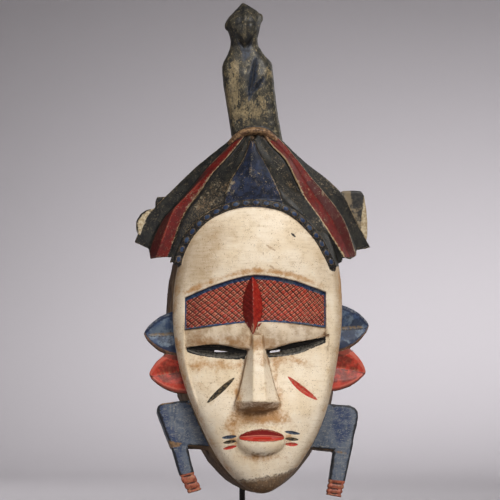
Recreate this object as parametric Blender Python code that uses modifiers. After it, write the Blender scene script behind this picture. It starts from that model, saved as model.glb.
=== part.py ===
"""A carved and painted wooden face mask with a crest figure, on its steel display stand.

Every size below is in millimetres. X runs to the viewer's right, Y runs from the front of the
mask to its back, and Z runs up from the surface that the stand's foot rests on. The origin is
the centre of the foot's underside.
"""

import math

import bmesh
import bpy
import numpy as np
from mathutils import Matrix

# ---------------------------------------------------------------- named sizes (mm)
MM = 0.001
# face shield, seen from the front
FACE_MID_Z = 226.0  # height of the widest place
FACE_HALF_W = 72.0
CHIN_Z = 73.8
CROWN_Z = 345.0  # top of the shield, under the coiffure
CHIN_EXP = (1.7, 0.58)  # half width = W * (1 - t^a)^b below the widest place
CROWN_EXP = (2.2, 0.50)  # and above it
BROW_DEPTH = 26.0  # how far the face stands before its own edge
FOREHEAD_DEPTH = 34.0
# the shell behind the face
RIM_Y = 48.0
RIM_HALF_W = 76.0
RIM_EXP = (2.0, 0.52)
RIM_LOW_Z = 73.0
WALL = 9.0
HOLLOW_SETBACK = 16.0  # thickness of wood behind brow and forehead
HOLLOW_TOP_Z = 318.0
# stand
ROD_X, ROD_Y, ROD_R = -9.0, 54.0, 2.5
ROOF_Z = 316.7  # the wood that the rod's hook carries
FOOT_W, FOOT_D, FOOT_H = 150.0, 130.0, 8.0
GAP = 0.3
PLACE = (0.0, -20.0, 0.0)  # from the mask's own axes, whose Y starts at the face's edge, to the foot's
DETAIL = 1  # how finely the lofts are divided


# ---------------------------------------------------------------- small mathematics
def smooth(e0, e1, x):
    t = np.clip((np.asarray(x, float) - e0) / (e1 - e0), 0, 1)
    return t * t * (3 - 2 * t)


def spline(points, t):
    """Catmull-Rom curve through points, at parameters t in 0..1 by length."""
    p = np.asarray(points, float)
    if p.ndim == 1:
        p = p[:, None]
    d = np.r_[0, np.cumsum(np.linalg.norm(np.diff(p, axis=0), axis=1) ** 0.75)]
    k = d / d[-1]
    t = np.clip(np.atleast_1d(np.asarray(t, float)), 0, 1)
    i = np.clip(np.searchsorted(k, t, side="right") - 1, 0, len(p) - 2)
    m = np.empty_like(p)
    m[1:-1] = (p[2:] - p[:-2]) / (k[2:] - k[:-2])[:, None]
    m[0] = (p[1] - p[0]) / (k[1] - k[0])
    m[-1] = (p[-1] - p[-2]) / (k[-1] - k[-2])
    h = (k[i + 1] - k[i])[:, None]
    u = ((t - k[i])[:, None]) / h
    return (
        (2 * u**3 - 3 * u**2 + 1) * p[i]
        + (u**3 - 2 * u**2 + u) * h * m[i]
        + (-2 * u**3 + 3 * u**2) * p[i + 1]
        + (u**3 - u**2) * h * m[i + 1]
    )


def along(xs, ys, x):
    """A smooth curve y(x) through a few named stations."""
    xs, ys = np.asarray(xs, float), np.asarray(ys, float)
    m = np.gradient(ys, xs)
    x = np.clip(np.asarray(x, float), xs[0], xs[-1])
    i = np.clip(np.searchsorted(xs, x, side="right") - 1, 0, len(xs) - 2)
    h = xs[i + 1] - xs[i]
    u = (x - xs[i]) / h
    return (
        (2 * u**3 - 3 * u**2 + 1) * ys[i]
        + (u**3 - 2 * u**2 + u) * h * m[i]
        + (-2 * u**3 + 3 * u**2) * ys[i + 1]
        + (u**3 - u**2) * h * m[i + 1]
    )


# ---------------------------------------------------------------- the face as a surface
def centre_x(z):
    """The carver's centre line drifts to the right towards the chin."""
    return along([70, 95, 130, 180, 226, 290, 345], [4.2, 3.2, 3.4, 0.8, 0.5, 1.6, 1.0], z)


def half_width(z, w, low, top, low_exp, top_exp):
    z = np.asarray(z, float)
    below = np.clip((FACE_MID_Z - z) / (FACE_MID_Z - low), 0, 1)
    above = np.clip((z - FACE_MID_Z) / (top - FACE_MID_Z), 0, 1)
    return np.where(
        z < FACE_MID_Z,
        w * np.maximum(1 - below ** low_exp[0], 0) ** low_exp[1],
        w * np.maximum(1 - above ** top_exp[0], 0) ** top_exp[1],
    )


def face_half(z):
    return half_width(z, FACE_HALF_W, CHIN_Z, CROWN_Z, CHIN_EXP, CROWN_EXP)


def profile_depth(z):
    """How far the centre line stands in front of the face's edge, at each height."""
    z = np.asarray(z, float)
    below = np.clip((FACE_MID_Z - z) / (FACE_MID_Z - CHIN_Z), 0, 1)
    above = np.clip((z - FACE_MID_Z) / (CROWN_Z - FACE_MID_Z), 0, 1)
    full = BROW_DEPTH + (FOREHEAD_DEPTH - BROW_DEPTH) * smooth(226, 275, z)
    return full * np.where(
        z < FACE_MID_Z, np.maximum(1 - below**5, 0) ** 0.5, np.maximum(1 - above**4, 0) ** 0.5
    )


def face_y(x, z):
    """The face's front surface before anything is cut into it: half ellipses with a soft side facet."""
    w = np.maximum(face_half(z), 1e-6)
    s = np.clip(np.abs(np.asarray(x, float) - centre_x(z)) / w, 0, 1)
    return -profile_depth(z) * np.sqrt(np.maximum(1 - s**2.15, 0))


def hollow_y(x, z, w):
    s = np.clip(np.abs(np.asarray(x, float) - centre_x(z)) / np.maximum(w, 1e-6), 0, 1)
    return -np.maximum(profile_depth(z) - HOLLOW_SETBACK, 0.5) * np.sqrt(np.maximum(1 - s**2, 0))


def outline(n, w, low, top, low_exp, top_exp, inset=0.0):
    """n points round an egg-shaped outline, evenly spaced, from the lowest point."""
    a = np.linspace(0, 2 * np.pi, 1441)[:-1]
    s, c = np.sin(a - np.pi / 2), np.cos(a - np.pi / 2)
    t = np.where(s < 0, np.abs(s) ** (2 / low_exp[0]), np.abs(s) ** (2 / top_exp[0]))
    z = np.where(s < 0, FACE_MID_Z - t * (FACE_MID_Z - low), FACE_MID_Z + t * (top - FACE_MID_Z))
    e = np.where(s < 0, 2 * low_exp[1], 2 * top_exp[1])
    x = centre_x(z) + np.sign(c) * w * np.abs(c) ** e
    if inset:
        mid = np.array([centre_x(FACE_MID_Z), FACE_MID_Z])
        p = np.c_[x, z]
        d = np.roll(p, -1, 0) - np.roll(p, 1, 0)
        nrm = np.c_[-d[:, 1], d[:, 0]] / np.linalg.norm(d, axis=1)[:, None]
        nrm *= np.sign(((mid - p) * nrm).sum(1))[:, None]
        p = p + nrm * inset
        x, z = p[:, 0], p[:, 1]
    p = np.c_[x, z]
    closed = np.r_[p, p[:1]]
    d = np.r_[0, np.cumsum(np.linalg.norm(np.diff(closed, axis=0), axis=1))]
    u = np.linspace(0, d[-1], n + 1)[:-1]
    return np.c_[np.interp(u, d, closed[:, 0]), np.interp(u, d, closed[:, 1])]


# ---------------------------------------------------------------- mesh helpers
def new_object(name, verts, faces):
    mesh = bpy.data.meshes.new(name)
    mesh.from_pydata([tuple(v) for v in (np.asarray(verts, float) + PLACE) * MM], [], faces)
    bm = bmesh.new()
    bm.from_mesh(mesh)
    bmesh.ops.remove_doubles(bm, verts=bm.verts, dist=1e-6)
    bmesh.ops.dissolve_degenerate(bm, edges=bm.edges, dist=1e-7)
    bmesh.ops.triangulate(bm, faces=[f for f in bm.faces if len(f.verts) > 4])
    bmesh.ops.recalc_face_normals(bm, faces=bm.faces)
    bm.to_mesh(mesh)
    bm.free()
    obj = bpy.data.objects.new(name, mesh)
    bpy.context.scene.collection.objects.link(obj)
    return obj


def loft(name, rings, hubs=(None, None)):
    """A closed skin over rings of equal length. An end is one flat face, or a fan about its hub."""
    rings = [np.asarray(r, float) for r in rings]
    n = len(rings[0])
    verts = list(np.vstack(rings))
    faces = []
    for k in range(len(rings) - 1):
        a, b = k * n, (k + 1) * n
        faces += [(a + i, a + (i + 1) % n, b + (i + 1) % n, b + i) for i in range(n)]
    for k, flip, hub in ((0, False, hubs[0]), (len(rings) - 1, True, hubs[1])):
        if hub is None:
            f = tuple(range(k * n, (k + 1) * n))
            faces.append(f if flip else f[::-1])
            continue
        verts.append(np.asarray(hub, float))
        for i in range(n):
            f = (k * n + i, k * n + (i + 1) % n, len(verts) - 1)
            faces.append(f if flip else f[::-1])
    return new_object(name, verts, faces)


def slab(name, front, back):
    """A closed solid between two grids of the same size."""
    front, back = np.asarray(front, float), np.asarray(back, float)
    m, n = front.shape[:2]
    verts = np.vstack([front.reshape(-1, 3), back.reshape(-1, 3)])
    o = m * n
    faces = []
    for i in range(m - 1):
        for j in range(n - 1):
            a, b, c, d = i * n + j, i * n + j + 1, (i + 1) * n + j + 1, (i + 1) * n + j
            faces += [(a, b, c, d), (o + d, o + c, o + b, o + a)]
    for i in range(m - 1):
        for j in (0, n - 1):
            a, b = i * n + j, (i + 1) * n + j
            faces.append((a, b, o + b, o + a) if j == 0 else (b, a, o + a, o + b))
    for j in range(n - 1):
        for i in (0, m - 1):
            a, b = i * n + j, i * n + j + 1
            faces.append((b, a, o + a, o + b) if i == 0 else (a, b, o + b, o + a))
    return new_object(name, verts, faces)


def trough(name, p0, p1, half_up, half_down, depth, stations=9, out=-75.0, power=0.6, bow=0.0, surface=face_y, lift=0.4):
    """A tapering V-shaped cut on the face along the line p0 to p1, given as (x, z)."""
    p0, p1 = np.asarray(p0, float), np.asarray(p1, float)
    d = (p1 - p0) / np.linalg.norm(p1 - p0)
    nrm = np.array([-d[1], d[0]])
    if nrm[1] < 0:
        nrm = -nrm
    rings = []
    for s in np.linspace(0, 1, stations):
        k = max(math.sin(math.pi * s), 0.0) ** power * 0.985 + 0.015
        c = p0 + (p1 - p0) * s + nrm * bow * math.sin(math.pi * s)
        up, down = c + nrm * half_up * k, c - nrm * half_down * k
        ring = []
        for q, y in ((up, out), (up, None), (c, depth * k), (down, None), (down, out)):
            yy = surface(q[0], q[1]) - lift if y is None else y
            if y is not None and y > 0:
                yy = surface(q[0], q[1]) + y
            ring.append((q[0], float(yy), q[1]))
        rings.append(ring)
    return loft(name, rings)


def smart_flat(obj, angle=35):
    obj.data.shade_smooth()
    obj.data.set_sharp_from_angle(angle=math.radians(angle))
    return obj


def boolean(target, tool, operation):
    mod = target.modifiers.new(tool.name, "BOOLEAN")
    mod.operation = operation
    mod.object = tool
    mod.solver = "EXACT"
    return mod


# ---------------------------------------------------------------- the shield and its hollow
def shield(detail=DETAIL):
    """The face and its side walls, as one solid block."""
    n = 56 * detail
    face = outline(n, FACE_HALF_W, CHIN_Z, CROWN_Z, CHIN_EXP, CROWN_EXP)
    rim = outline(n, RIM_HALF_W, RIM_LOW_Z, CROWN_Z - 3, RIM_EXP, CROWN_EXP)
    hub = np.array([1.0, 205.0])
    rings = []
    m = 9 * detail
    for k in range(m):
        rho = math.sin(math.pi / 2 * (k + 0.6) / (m - 0.4))
        q = hub + rho * (face - hub)
        y = face_y(q[:, 0], q[:, 1]) if rho < 0.9999 else np.zeros(n)
        rings.append(np.c_[q[:, 0], y, q[:, 1]])

    def at(shape, y):
        return np.c_[shape[:, 0], np.full(n, y), shape[:, 1]]

    neck = face + 0.035 * (hub - face) * np.array([1.0, 0.8])
    rings.append(at(face, 3.0))
    rings.append(at(neck * 0.55 + face * 0.45, 6.5))
    for f in (0.25, 0.6, 1.0):
        rings.append(at(face + (rim - face) * f, 6.5 + (RIM_Y - 6.5) * f))
    return loft("mask", rings, (rings[0].mean(0), (hub[0], RIM_Y, hub[1])))


def hollow(detail=DETAIL):
    """The hollow behind the face, as a cutter that runs out past the rim."""
    n = 48 * detail
    inner_rim = outline(n, RIM_HALF_W - WALL, RIM_LOW_Z + WALL + 2, HOLLOW_TOP_Z, RIM_EXP, CROWN_EXP)
    inner_face = outline(n, FACE_HALF_W - WALL, CHIN_Z + WALL + 5, HOLLOW_TOP_Z - 3, CHIN_EXP, CROWN_EXP)
    hub = np.array([1.0, 205.0])
    rings = [np.c_[q[:, 0], np.full(n, y), q[:, 1]] for q, y in ((inner_rim, RIM_Y + 8.0), (inner_rim, RIM_Y - 6.0), ((inner_rim + inner_face) / 2, RIM_Y * 0.4))]
    m = 6 * detail
    for k in range(m - 1, -1, -1):
        rho = math.sin(math.pi / 2 * (k + 0.6) / (m - 0.4))
        q = hub + rho * (inner_face - hub)
        w = half_width(q[:, 1], FACE_HALF_W - WALL, CHIN_Z + WALL + 5, HOLLOW_TOP_Z - 3, CHIN_EXP, CROWN_EXP)
        y = hollow_y(q[:, 0], q[:, 1], w) if rho < 0.9999 else np.zeros(n)
        rings.append(np.c_[q[:, 0], y, q[:, 1]])
    return loft("cut_hollow", rings, ((hub[0], RIM_Y + 8.0, hub[1]), rings[-1].mean(0)))


# ---------------------------------------------------------------- brow band, cheeks, eyes, nose, mouth
BAND_X = (-61.8, 57.0)


def band_top(x):
    return along([-62, -37, -6, 26, 57], [238.5, 248.8, 256.6, 253.2, 243.5], x)


def band_low(x):
    return along([-62, -37, -6, 26, 57], [211.5, 214.4, 217.6, 217.0, 213.6], x)


def lid_line(x):
    """The lower edge of the lids, where the cheeks are cut back."""
    return along([-66, -59, -47, -30, -9, 4, 31, 45, 55, 63], [197.8, 198.0, 198.2, 197.6, 195.6, 195.4, 199.8, 203.0, 206.6, 209.7], x)


def band_recess(detail=DETAIL, depth=3.4):
    m, n = 3 * detail + 1, 14 * detail + 1
    front, back = np.zeros((m, n, 3)), np.zeros((m, n, 3))
    for i, v in enumerate(np.linspace(0, 1, m)):
        x = np.linspace(BAND_X[0], BAND_X[1], n)
        z = band_low(x) * (1 - v) + band_top(x) * v
        front[i] = np.c_[x, face_y(x, z) + depth, z]
        back[i] = np.c_[x, np.full(n, -75.0), z]
    return slab("cut_band", front, back)


def cheek_depth(x, z):
    """How far the cheeks lie behind the brow's surface; below zero is outside the wood."""
    lid = lid_line(x)
    fade = 1 - smooth(6, 74, lid - z)
    side = 1 - smooth(38, 66, np.abs(x + 1))
    return 9.5 * fade * (0.28 + 0.72 * side) - 1.2 * (1 - fade) - 1.6 * smooth(57, 63, np.abs(x + 1.5))


def cheek_cut(detail=DETAIL):
    m, n = 9 * detail + 1, 18 * detail + 1
    front, back = np.zeros((m, n, 3)), np.zeros((m, n, 3))
    for i, v in enumerate(np.linspace(0, 1, m)):
        u = np.linspace(-1, 1, n)
        top = lid_line(u * 60)
        z0 = top * (1 - v) + 112.0 * v
        half = np.minimum(61.0, face_half(z0) * 0.90)
        x = centre_x(z0) + u * half - 1.0
        z = lid_line(x) * (1 - v) + 112.0 * v
        front[i] = np.c_[x, face_y(x, z) + cheek_depth(x, z), z]
        back[i] = np.c_[x, np.full(n, -75.0), z]
    return slab("cut_cheeks", front, back)


def cheek_y(x, z):
    return face_y(x, z) + np.maximum(cheek_depth(x, z), 0.0)


def eye_cut(name, x0, x1, upper, lower, valley, slit, detail=DETAIL):
    """An almond-shaped trough whose floor is pierced by a slit. Each curve gives z at x."""
    n = 12 * detail + 1
    trough_rings, slit_rings = [], []
    for s in np.linspace(0, 1, n):
        x = x0 + (x1 - x0) * s
        k = max(math.sin(math.pi * s), 0.0) ** 0.45 * 0.84 + 0.16
        zu, zl, zv = (float(f(x)) for f in (upper, lower, valley))
        zu, zl = zv + (zu - zv) * k, zv + (zl - zv) * k
        ys = float(cheek_y(x, zv - 2))
        yv = ys + 5.2 * k
        # the upper wall runs back under the lid, the lower one slopes forward
        trough_rings.append([(x, -75, zu), (x, ys - 1, zu), (x, yv, zv + 0.55 * (zu - zv)), (x, yv, zv - 0.2), (x, ys - 0.4, zl), (x, -75, zl)])
    for s in np.linspace(0, 1, n):
        x = slit[0] + (slit[1] - slit[0]) * s
        k = max(math.sin(math.pi * s), 0.0) ** 0.5 * 0.93 + 0.07
        zv = float(valley(x)) + 0.4
        h = slit[2] * k
        slit_rings.append([(x, -75, zv + h), (x, 40, zv + h + 1.6), (x, 40, zv - h - 0.2), (x, -75, zv - h)])
    return loft(name, trough_rings), loft(name + "_slit", slit_rings)


def nose(detail=DETAIL):
    rings = []
    n = 7 * detail + 1
    for k, s in enumerate(np.linspace(0, 1, n)):
        z = 207.0 + (151.0 - 207.0) * s
        x = -1.6 + 0.4 * s
        flare = s + 0.22 * s**6
        foot = 4.6 + 11.4 * flare
        crest = 3.6 + 1.8 * s
        tip = -29.0 - 17.5 * s**1.15
        side = -22.0 - 9.0 * s**2
        rings.append([(x - foot, -8, z), (x - foot, side, z), (x - crest, tip, z), (x + crest, tip - 0.4, z), (x + foot, side, z), (x + foot, -8, z)])
    last = np.array(rings[-1])
    drop = np.array([-11.0, -4.0, 0.0, 0.0, -4.0, -11.0])
    under = last.copy()
    under[:, 1] = [-8, -20, -26, -26, -20, -8]
    under[:, 2] += np.array([-10, -7.0, -7.2, -7.2, -6.4, -10])
    rings.append(under)
    return loft("add_nose", rings)


def lozenge(detail=DETAIL):
    rings = []
    for s in np.linspace(0, 1, 8 * detail + 1):
        z = 255.6 + (206.0 - 255.6) * s
        x = -5.7 + 0.5 * s
        k = max(math.sin(math.pi * s), 0) ** 0.8 * 0.97 + 0.03
        base = float(face_y(x, z))
        w = 8.1 * k
        rings.append([(x - w, base + 8, z), (x - w, base + 2.6, z), (x - 0.3, base + 2.2 - 10.5 * k**0.8, z), (x + w, base + 2.6, z), (x + w, base + 8, z)])
    return loft("add_lozenge", rings)


def ellipsoid(name, centre, radii, segments, rings):
    bm = bmesh.new()
    bmesh.ops.create_uvsphere(bm, u_segments=segments, v_segments=rings, radius=1.0)
    bmesh.ops.scale(bm, vec=[r * MM for r in radii], verts=bm.verts)
    bmesh.ops.translate(bm, vec=[(c + p) * MM for c, p in zip(centre, PLACE)], verts=bm.verts)
    mesh = bpy.data.meshes.new(name)
    bm.to_mesh(mesh)
    bm.free()
    obj = bpy.data.objects.new(name, mesh)
    bpy.context.scene.collection.objects.link(obj)
    return obj


def mouth(detail=DETAIL):
    return ellipsoid("add_lips", (2.3, -20.5, 119.2), (20.4, 11.5, 13.4), 24 * detail, 14 * detail)


def mouth_cut(detail=DETAIL):
    rings = []
    for s in np.linspace(0, 1, 12 * detail + 1):
        x = -16.8 + (21.0 + 16.8) * s
        k = max(math.sin(math.pi * s), 0) ** 0.5 * 0.95 + 0.05
        zv = 121.2 + 1.4 * math.sin(math.pi * s)
        zu, zl = zv + 5.0 * k, zv - 3.0 * k
        rings.append([(x, -60, zu + 0.4), (x, -30.5, zu), (x, -23.5, zv), (x, -31.0, zl), (x, -60, zl - 0.4)])
    return loft("cut_mouth", rings)


# ---------------------------------------------------------------- coiffure
# Each line runs from the apex to the lower edge of the coiffure: (x, y, z)
LINES = [
    # left side, from the outside in
    [(-20.0, 4, 377.0), (-36, 8, 364.6), (-50.5, 11, 352.9), (-72.8, 14, 331.4), (-81.5, 15, 322.8), (-93.2, 17, 309.1), (-100.0, 18, 296.8), (-104.0, 19, 287.2)],
    [(-13.6, 0, 379.4), (-26.6, 2, 366.6), (-42.9, 4, 350.2), (-56.0, 6, 333.6), (-68.9, 8, 318.8), (-80.6, 10, 305.9), (-90.6, 12, 287.0), (-92.0, 13, 281.0)],
    [(-12.7, -4, 379.2), (-25.8, -2, 366.4), (-42.1, -1, 349.9), (-55.2, 1, 333.2), (-68.1, 3, 318.4), (-79.8, 6, 305.4), (-89.8, 8, 283.0), (-90.6, 9, 272.3)],
    [(-11.4, -6, 380.4), (-23.9, -7, 366.4), (-38.6, -8, 349.4), (-49.7, -9, 336.9), (-62.7, -9, 323.0), (-71.7, -8, 312.5), (-86.6, -3, 272.6)],
    [(-9.0, -9, 380.0), (-19.8, -12, 365.6), (-30.4, -14, 353.3), (-39.4, -14, 343.4), (-48.3, -14, 329.5), (-62.9, -12, 309.1), (-76.6, -6, 273.0)],
    [(-8.2, -6, 379.0), (-18.9, -8.5, 365.0), (-29.8, -10.5, 352.7), (-38.8, -10.5, 342.8), (-47.7, -10.5, 329.0), (-62.1, -8.5, 308.6), (-75.0, -4, 267.6)],
    [(-7.2, -8, 377.4), (-14.2, -13, 363.0), (-22.5, -16, 350.0), (-31.5, -18, 337.0), (-38.5, -18, 326.0), (-50.0, -15, 302.0), (-58.0, -8, 280.0)],
    [(-6.6, -10, 374.0), (-9.8, -14, 362.8), (-13.4, -18, 354.8), (-19.2, -22, 345.0), (-25.4, -25, 334.5), (-29.8, -24.5, 318.0), (-31.0, -19, 303.0)],
    [(-6.1, -14, 372.6), (-9.2, -18, 362.8), (-12.8, -22, 354.8), (-18.4, -26, 345.0), (-24.6, -29, 334.5), (-29.0, -26.0, 318.0), (-30.0, -19, 303.0)],
    [(-5.6, -17, 371.0), (-7.0, -24, 361.0), (-8.6, -30, 352.0), (-10.8, -34.5, 342.0), (-12.6, -33.5, 333.0), (-14.4, -27.4, 318.0), (-15.0, -20, 303.0)],
    # the middle
    [(-5.0, -18, 370.4), (-5.8, -26, 360.0), (-7.2, -32.5, 351.0), (-8.0, -37.5, 343.4), (-6.6, -35.5, 333.0), (-5.2, -28.2, 318.0), (-5.0, -20, 303.0)],
    # right side, from the inside out
    [(-4.4, -17, 370.6), (-3.8, -24, 360.6), (-2.4, -30.5, 351.4), (-0.6, -34.8, 341.0), (3.0, -33.5, 333.0), (7.0, -27.4, 318.0), (8.0, -20, 303.0)],
    [(-3.9, -14, 372.2), (-0.6, -18, 362.2), (3.4, -22, 354.4), (7.6, -26, 345.6), (13.6, -29, 332.6), (19.6, -26.0, 318.0), (21.0, -19, 303.0)],
    [(-3.3, -10, 373.6), (0.1, -14, 362.2), (4.2, -18, 354.4), (8.4, -22, 345.6), (14.4, -25, 332.6), (20.4, -24.5, 318.0), (22.0, -19, 303.0)],
    [(0.2, -8, 378.0), (6.4, -13, 363.6), (14.4, -16, 350.2), (22.8, -18, 335.0), (30.4, -18, 321.0), (45.0, -14, 297.6), (56.0, -8, 277.0)],
    [(3.0, -6, 379.0), (11.4, -8.5, 367.8), (22.8, -10.5, 355.6), (31.8, -10.5, 337.8), (38.4, -10.5, 324.7), (54.4, -8.5, 302.0), (72.0, -4, 268.4)],
    [(4.0, -9, 379.8), (12.2, -12, 368.3), (23.6, -14, 356.1), (32.6, -14, 338.2), (39.1, -14, 325.1), (55.3, -12, 302.5), (74.6, -6, 273.4)],
    [(7.2, -5, 381.0), (17.2, -6, 370.2), (29.4, -6.5, 355.8), (38.8, -6.5, 341.0), (47.8, -6, 327.8), (64.6, -3.5, 304.6), (80.4, 0, 272.4)],
    [(10.4, -4, 381.8), (22.0, -4.5, 371.2), (35.1, -4.5, 355.7), (44.9, -4, 343.3), (56.4, -3, 330.3), (73.6, 0, 307.4), (85.8, 6, 275.6)],
    [(11.2, 0, 382.0), (22.8, 1, 371.4), (35.9, 2, 355.9), (45.7, 3, 343.5), (57.2, 5, 330.5), (74.4, 8, 307.6), (86.8, 12, 281.0)],
    [(22.2, 4, 374.4), (33.0, 8, 364.4), (44.4, 11, 355.0), (60.9, 14, 343.0), (74.3, 15, 330.4), (79.9, 16, 321.3), (86.3, 17, 308.1), (93.1, 18, 295.0), (99.8, 19, 283.6)],
]
BACK_Y = 38.0
# the middle of the beaded headband, from the left temple to the right
BEAD_LINE = [(-67.6, -5, 267.0), (-66.2, -7, 273.4), (-61.5, -11, 284.6), (-55.3, -14, 294.5), (-43.9, -19.5, 305.6), (-29.2, -24.5, 313.3), (-17.0, -27, 316.6), (-4.7, -28, 317.6), (7.6, -27.5, 316.6), (19.8, -25.5, 313.6), (31.6, -22, 306.8), (41.0, -18.5, 298.3), (50.4, -14, 287.4), (57.1, -10.5, 275.9), (61.6, -7, 267.4), (63.2, -6, 263.6)]


def above_beads(x, z):
    """How far a point lies outside the line of the headband, in mm."""
    bead = spline(BEAD_LINE, np.linspace(0, 1, 60))[:, [0, 2]]
    centre = bead.mean(0)
    q = np.c_[np.ravel(x), np.ravel(z)]
    step = np.linalg.norm(q[:, None] - bead[None], axis=2)
    near = step.argmin(1)
    out = np.linalg.norm(q - centre, axis=1) - np.linalg.norm(bead[near] - centre, axis=1)
    return np.sign(out) * step.min(1)


def proud(line, by=2.2):
    """A coiffure line, moved forward where the forehead would show through it."""
    x, z = line[:, 0], line[:, 2]
    away = np.abs(x - centre_x(z)) / np.maximum(face_half(z), 1.0)
    over = smooth(-1.0, 3.0, above_beads(x, z)) * smooth(288.0, 296.0, z) * (1 - smooth(1.0, 1.14, away))
    wanted = np.minimum(line[:, 1], face_y(x, z) - by)
    out = line.copy()
    out[:, 1] += (wanted - line[:, 1]) * over
    return out


def coiffure(detail=DETAIL):
    m = 10 * detail + 1
    t = np.linspace(0, 1, m)
    lines = [proud(spline(p, t)) for p in LINES]
    rings = []
    for k in range(m):
        front = [ln[k] for ln in lines]
        left, right = front[0], front[-1]
        back = []
        for f in (1.0, 0.6, 0.2, -0.2, -0.6, -1.0):
            mid = (left + right) / 2
            half = (right[0] - left[0]) / 2
            z = mid[2] + (front[10][2] - mid[2]) * 0.35 * (1 - f * f)
            back.append((mid[0] + f * (half - 3.0), BACK_Y - 5.0 * f * f - 8.0 * (1 - t[k]), z + f * (right[2] - left[2]) / 2))
        rings.append(front + back)
    return loft("add_coiffure", rings, ((-4.0, 28.0, 372.0), (-3.0, 27.0, 293.0)))




def headband(detail=DETAIL):
    """The narrow raised band that edges the coiffure on the forehead."""
    n = 18 * detail + 1
    p = spline(BEAD_LINE, np.linspace(0, 1, n))
    y = face_y(p[:, 0], p[:, 2])
    rings = []
    for i in range(n):
        a, b = p[max(i - 1, 0)], p[min(i + 1, n - 1)]
        d = (b - a)[[0, 2]]
        d /= np.linalg.norm(d)
        nrm = np.array([-d[1], d[0]])
        q = p[i][[0, 2]]
        inner, outer = q - nrm * 2.9, q + nrm * 3.6
        yi, yo = float(face_y(*inner)), float(face_y(*outer))
        front = min(float(y[i]) - 3.4, yi - 1.4)
        front_o = front + 0.6
        rings.append([(inner[0], max(yi, y[i]) + 9, inner[1]), (inner[0], front + 0.9, inner[1]), (inner[0] + nrm[0], front, inner[1] + nrm[1]), (outer[0] - nrm[0], front_o, outer[1] - nrm[1]), (outer[0], front_o + 1.2, outer[1]), (outer[0], max(yo, y[i]) + 9, outer[1])])
    return loft("add_headband", rings)


# ---------------------------------------------------------------- horns, ears, side blocks, crest figure
def lobe(name, root_top, root_low, tip, y0, thick, side, detail=DETAIL, rise=0.42):
    """An ear-like lobe: a leaf whose front is scooped out in a V, leaving a raised rim."""
    top, low, tip = (np.asarray(p, float) for p in (root_top, root_low, tip))
    n = 8 * detail
    rings = []
    for s in np.linspace(0, 1, n + 1):
        # the outline swells a little from the root, then rounds to the tip
        k = (1 - s**1.85) ** 0.74 * 0.97 + 0.03
        mid_root = top * (1 - rise) + low * rise
        c = mid_root + (tip - mid_root) * s
        a = c + (top - mid_root) * k
        b = c + (low - mid_root) * k
        dish = 5.4 * min(k * 1.25, 1.0) * (1 - 0.25 * s)
        rim = 0.20
        pa, pb = a + (b - a) * rim, b + (a - b) * 0.22
        valley = a + (b - a) * 0.50
        yf = y0 + 3.0 * s**2
        yb = y0 + thick * (1 - 0.45 * s)
        rings.append([
            (a[0], yf + 1.6, a[1]), (a[0] * 0.75 + pa[0] * 0.25, yf + 0.2, a[1] * 0.75 + pa[1] * 0.25), (pa[0], yf + 0.5, pa[1]),
            (valley[0], yf + dish, valley[1]),
            (pb[0], yf + 0.8, pb[1]), (b[0] * 0.75 + pb[0] * 0.25, yf + 0.3, b[1] * 0.75 + pb[1] * 0.25), (b[0], yf + 1.8, b[1]),
            (b[0], yb - 2, b[1] - 0.4), (c[0], yb + 1, c[1]), (a[0], yb - 2, a[1]),
        ])
    return loft(name, rings)


def board(name, corners, y0, y1, detail=DETAIL, under=0.0):
    """A flat carved board with this outline in the XZ plane and softened edges."""
    p = np.asarray(corners, float)
    c = p.mean(0)
    rings = []
    for y, shrink in ((y0, 0.9), (y0 + 0.9, 0.0), (y1 - 0.9, 0.0), (y1, 0.9)):
        q = p + (c - p) / np.linalg.norm(c - p, axis=1)[:, None] * shrink
        rings.append(np.c_[q[:, 0], np.full(len(q), y), q[:, 1] - under * (y - y0) / (y1 - y0)])
    return loft(name, rings)


def horn_right(detail=DETAIL):
    """A squared horn that shows behind the coiffure's right shoulder."""
    return board("add_horn_right", [(60.0, 316.0), (66.0, 328.0), (76.0, 333.0), (86.0, 333.4), (91.6, 332.8), (94.2, 329.0), (95.8, 319.0), (96.8, 307.0), (97.0, 295.0), (95.6, 288.6), (88.0, 286.6), (72.0, 298.0)], 19, 41, detail)


def horn_left(detail=DETAIL):
    """The stub of the horn on the left."""
    return board("add_horn_left", [(-64.0, 312.0), (-70.0, 325.6), (-75.0, 327.0), (-84.2, 326.8), (-85.2, 324.8), (-85.6, 314.6), (-84.0, 304.0), (-72.0, 300.0)], 20, 40, detail)


def knob_left(detail=DETAIL):
    """The rounded knob below that stub."""
    return board("add_knob_left", [(-78.0, 308.0), (-82.0, 315.2), (-88.0, 316.4), (-94.0, 315.2), (-98.8, 311.6), (-101.8, 306.4), (-102.2, 300.4), (-100.6, 294.6), (-98.0, 291.0), (-86.0, 292.0)], 17, 36, detail)


def leg(name, path, half, y0, y1, detail=DETAIL):
    """The leg under a side block, tapering down to a ringed foot."""
    n = 6 * detail + 1
    p = spline(path, np.linspace(0, 1, n))
    rings = []
    for i, s in enumerate(np.linspace(0, 1, n)):
        w = half[0] + (half[1] - half[0]) * s
        a, b = y0 + 0.6 * s, y1 - 2.0 * s
        x, z = p[i]
        tilt = (p[-1] - p[0]) / np.linalg.norm(p[-1] - p[0])
        ax = np.array([-tilt[1], tilt[0]])
        ring = []
        for dx, y in ((-1, a + 1), (-0.86, a), (0.86, a), (1, a + 1), (1, b - 1), (0.86, b), (-0.86, b), (-1, b - 1)):
            ring.append((x + ax[0] * w * dx, y, z + ax[1] * w * dx))
        rings.append(ring)
    return loft(name, rings)


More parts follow.
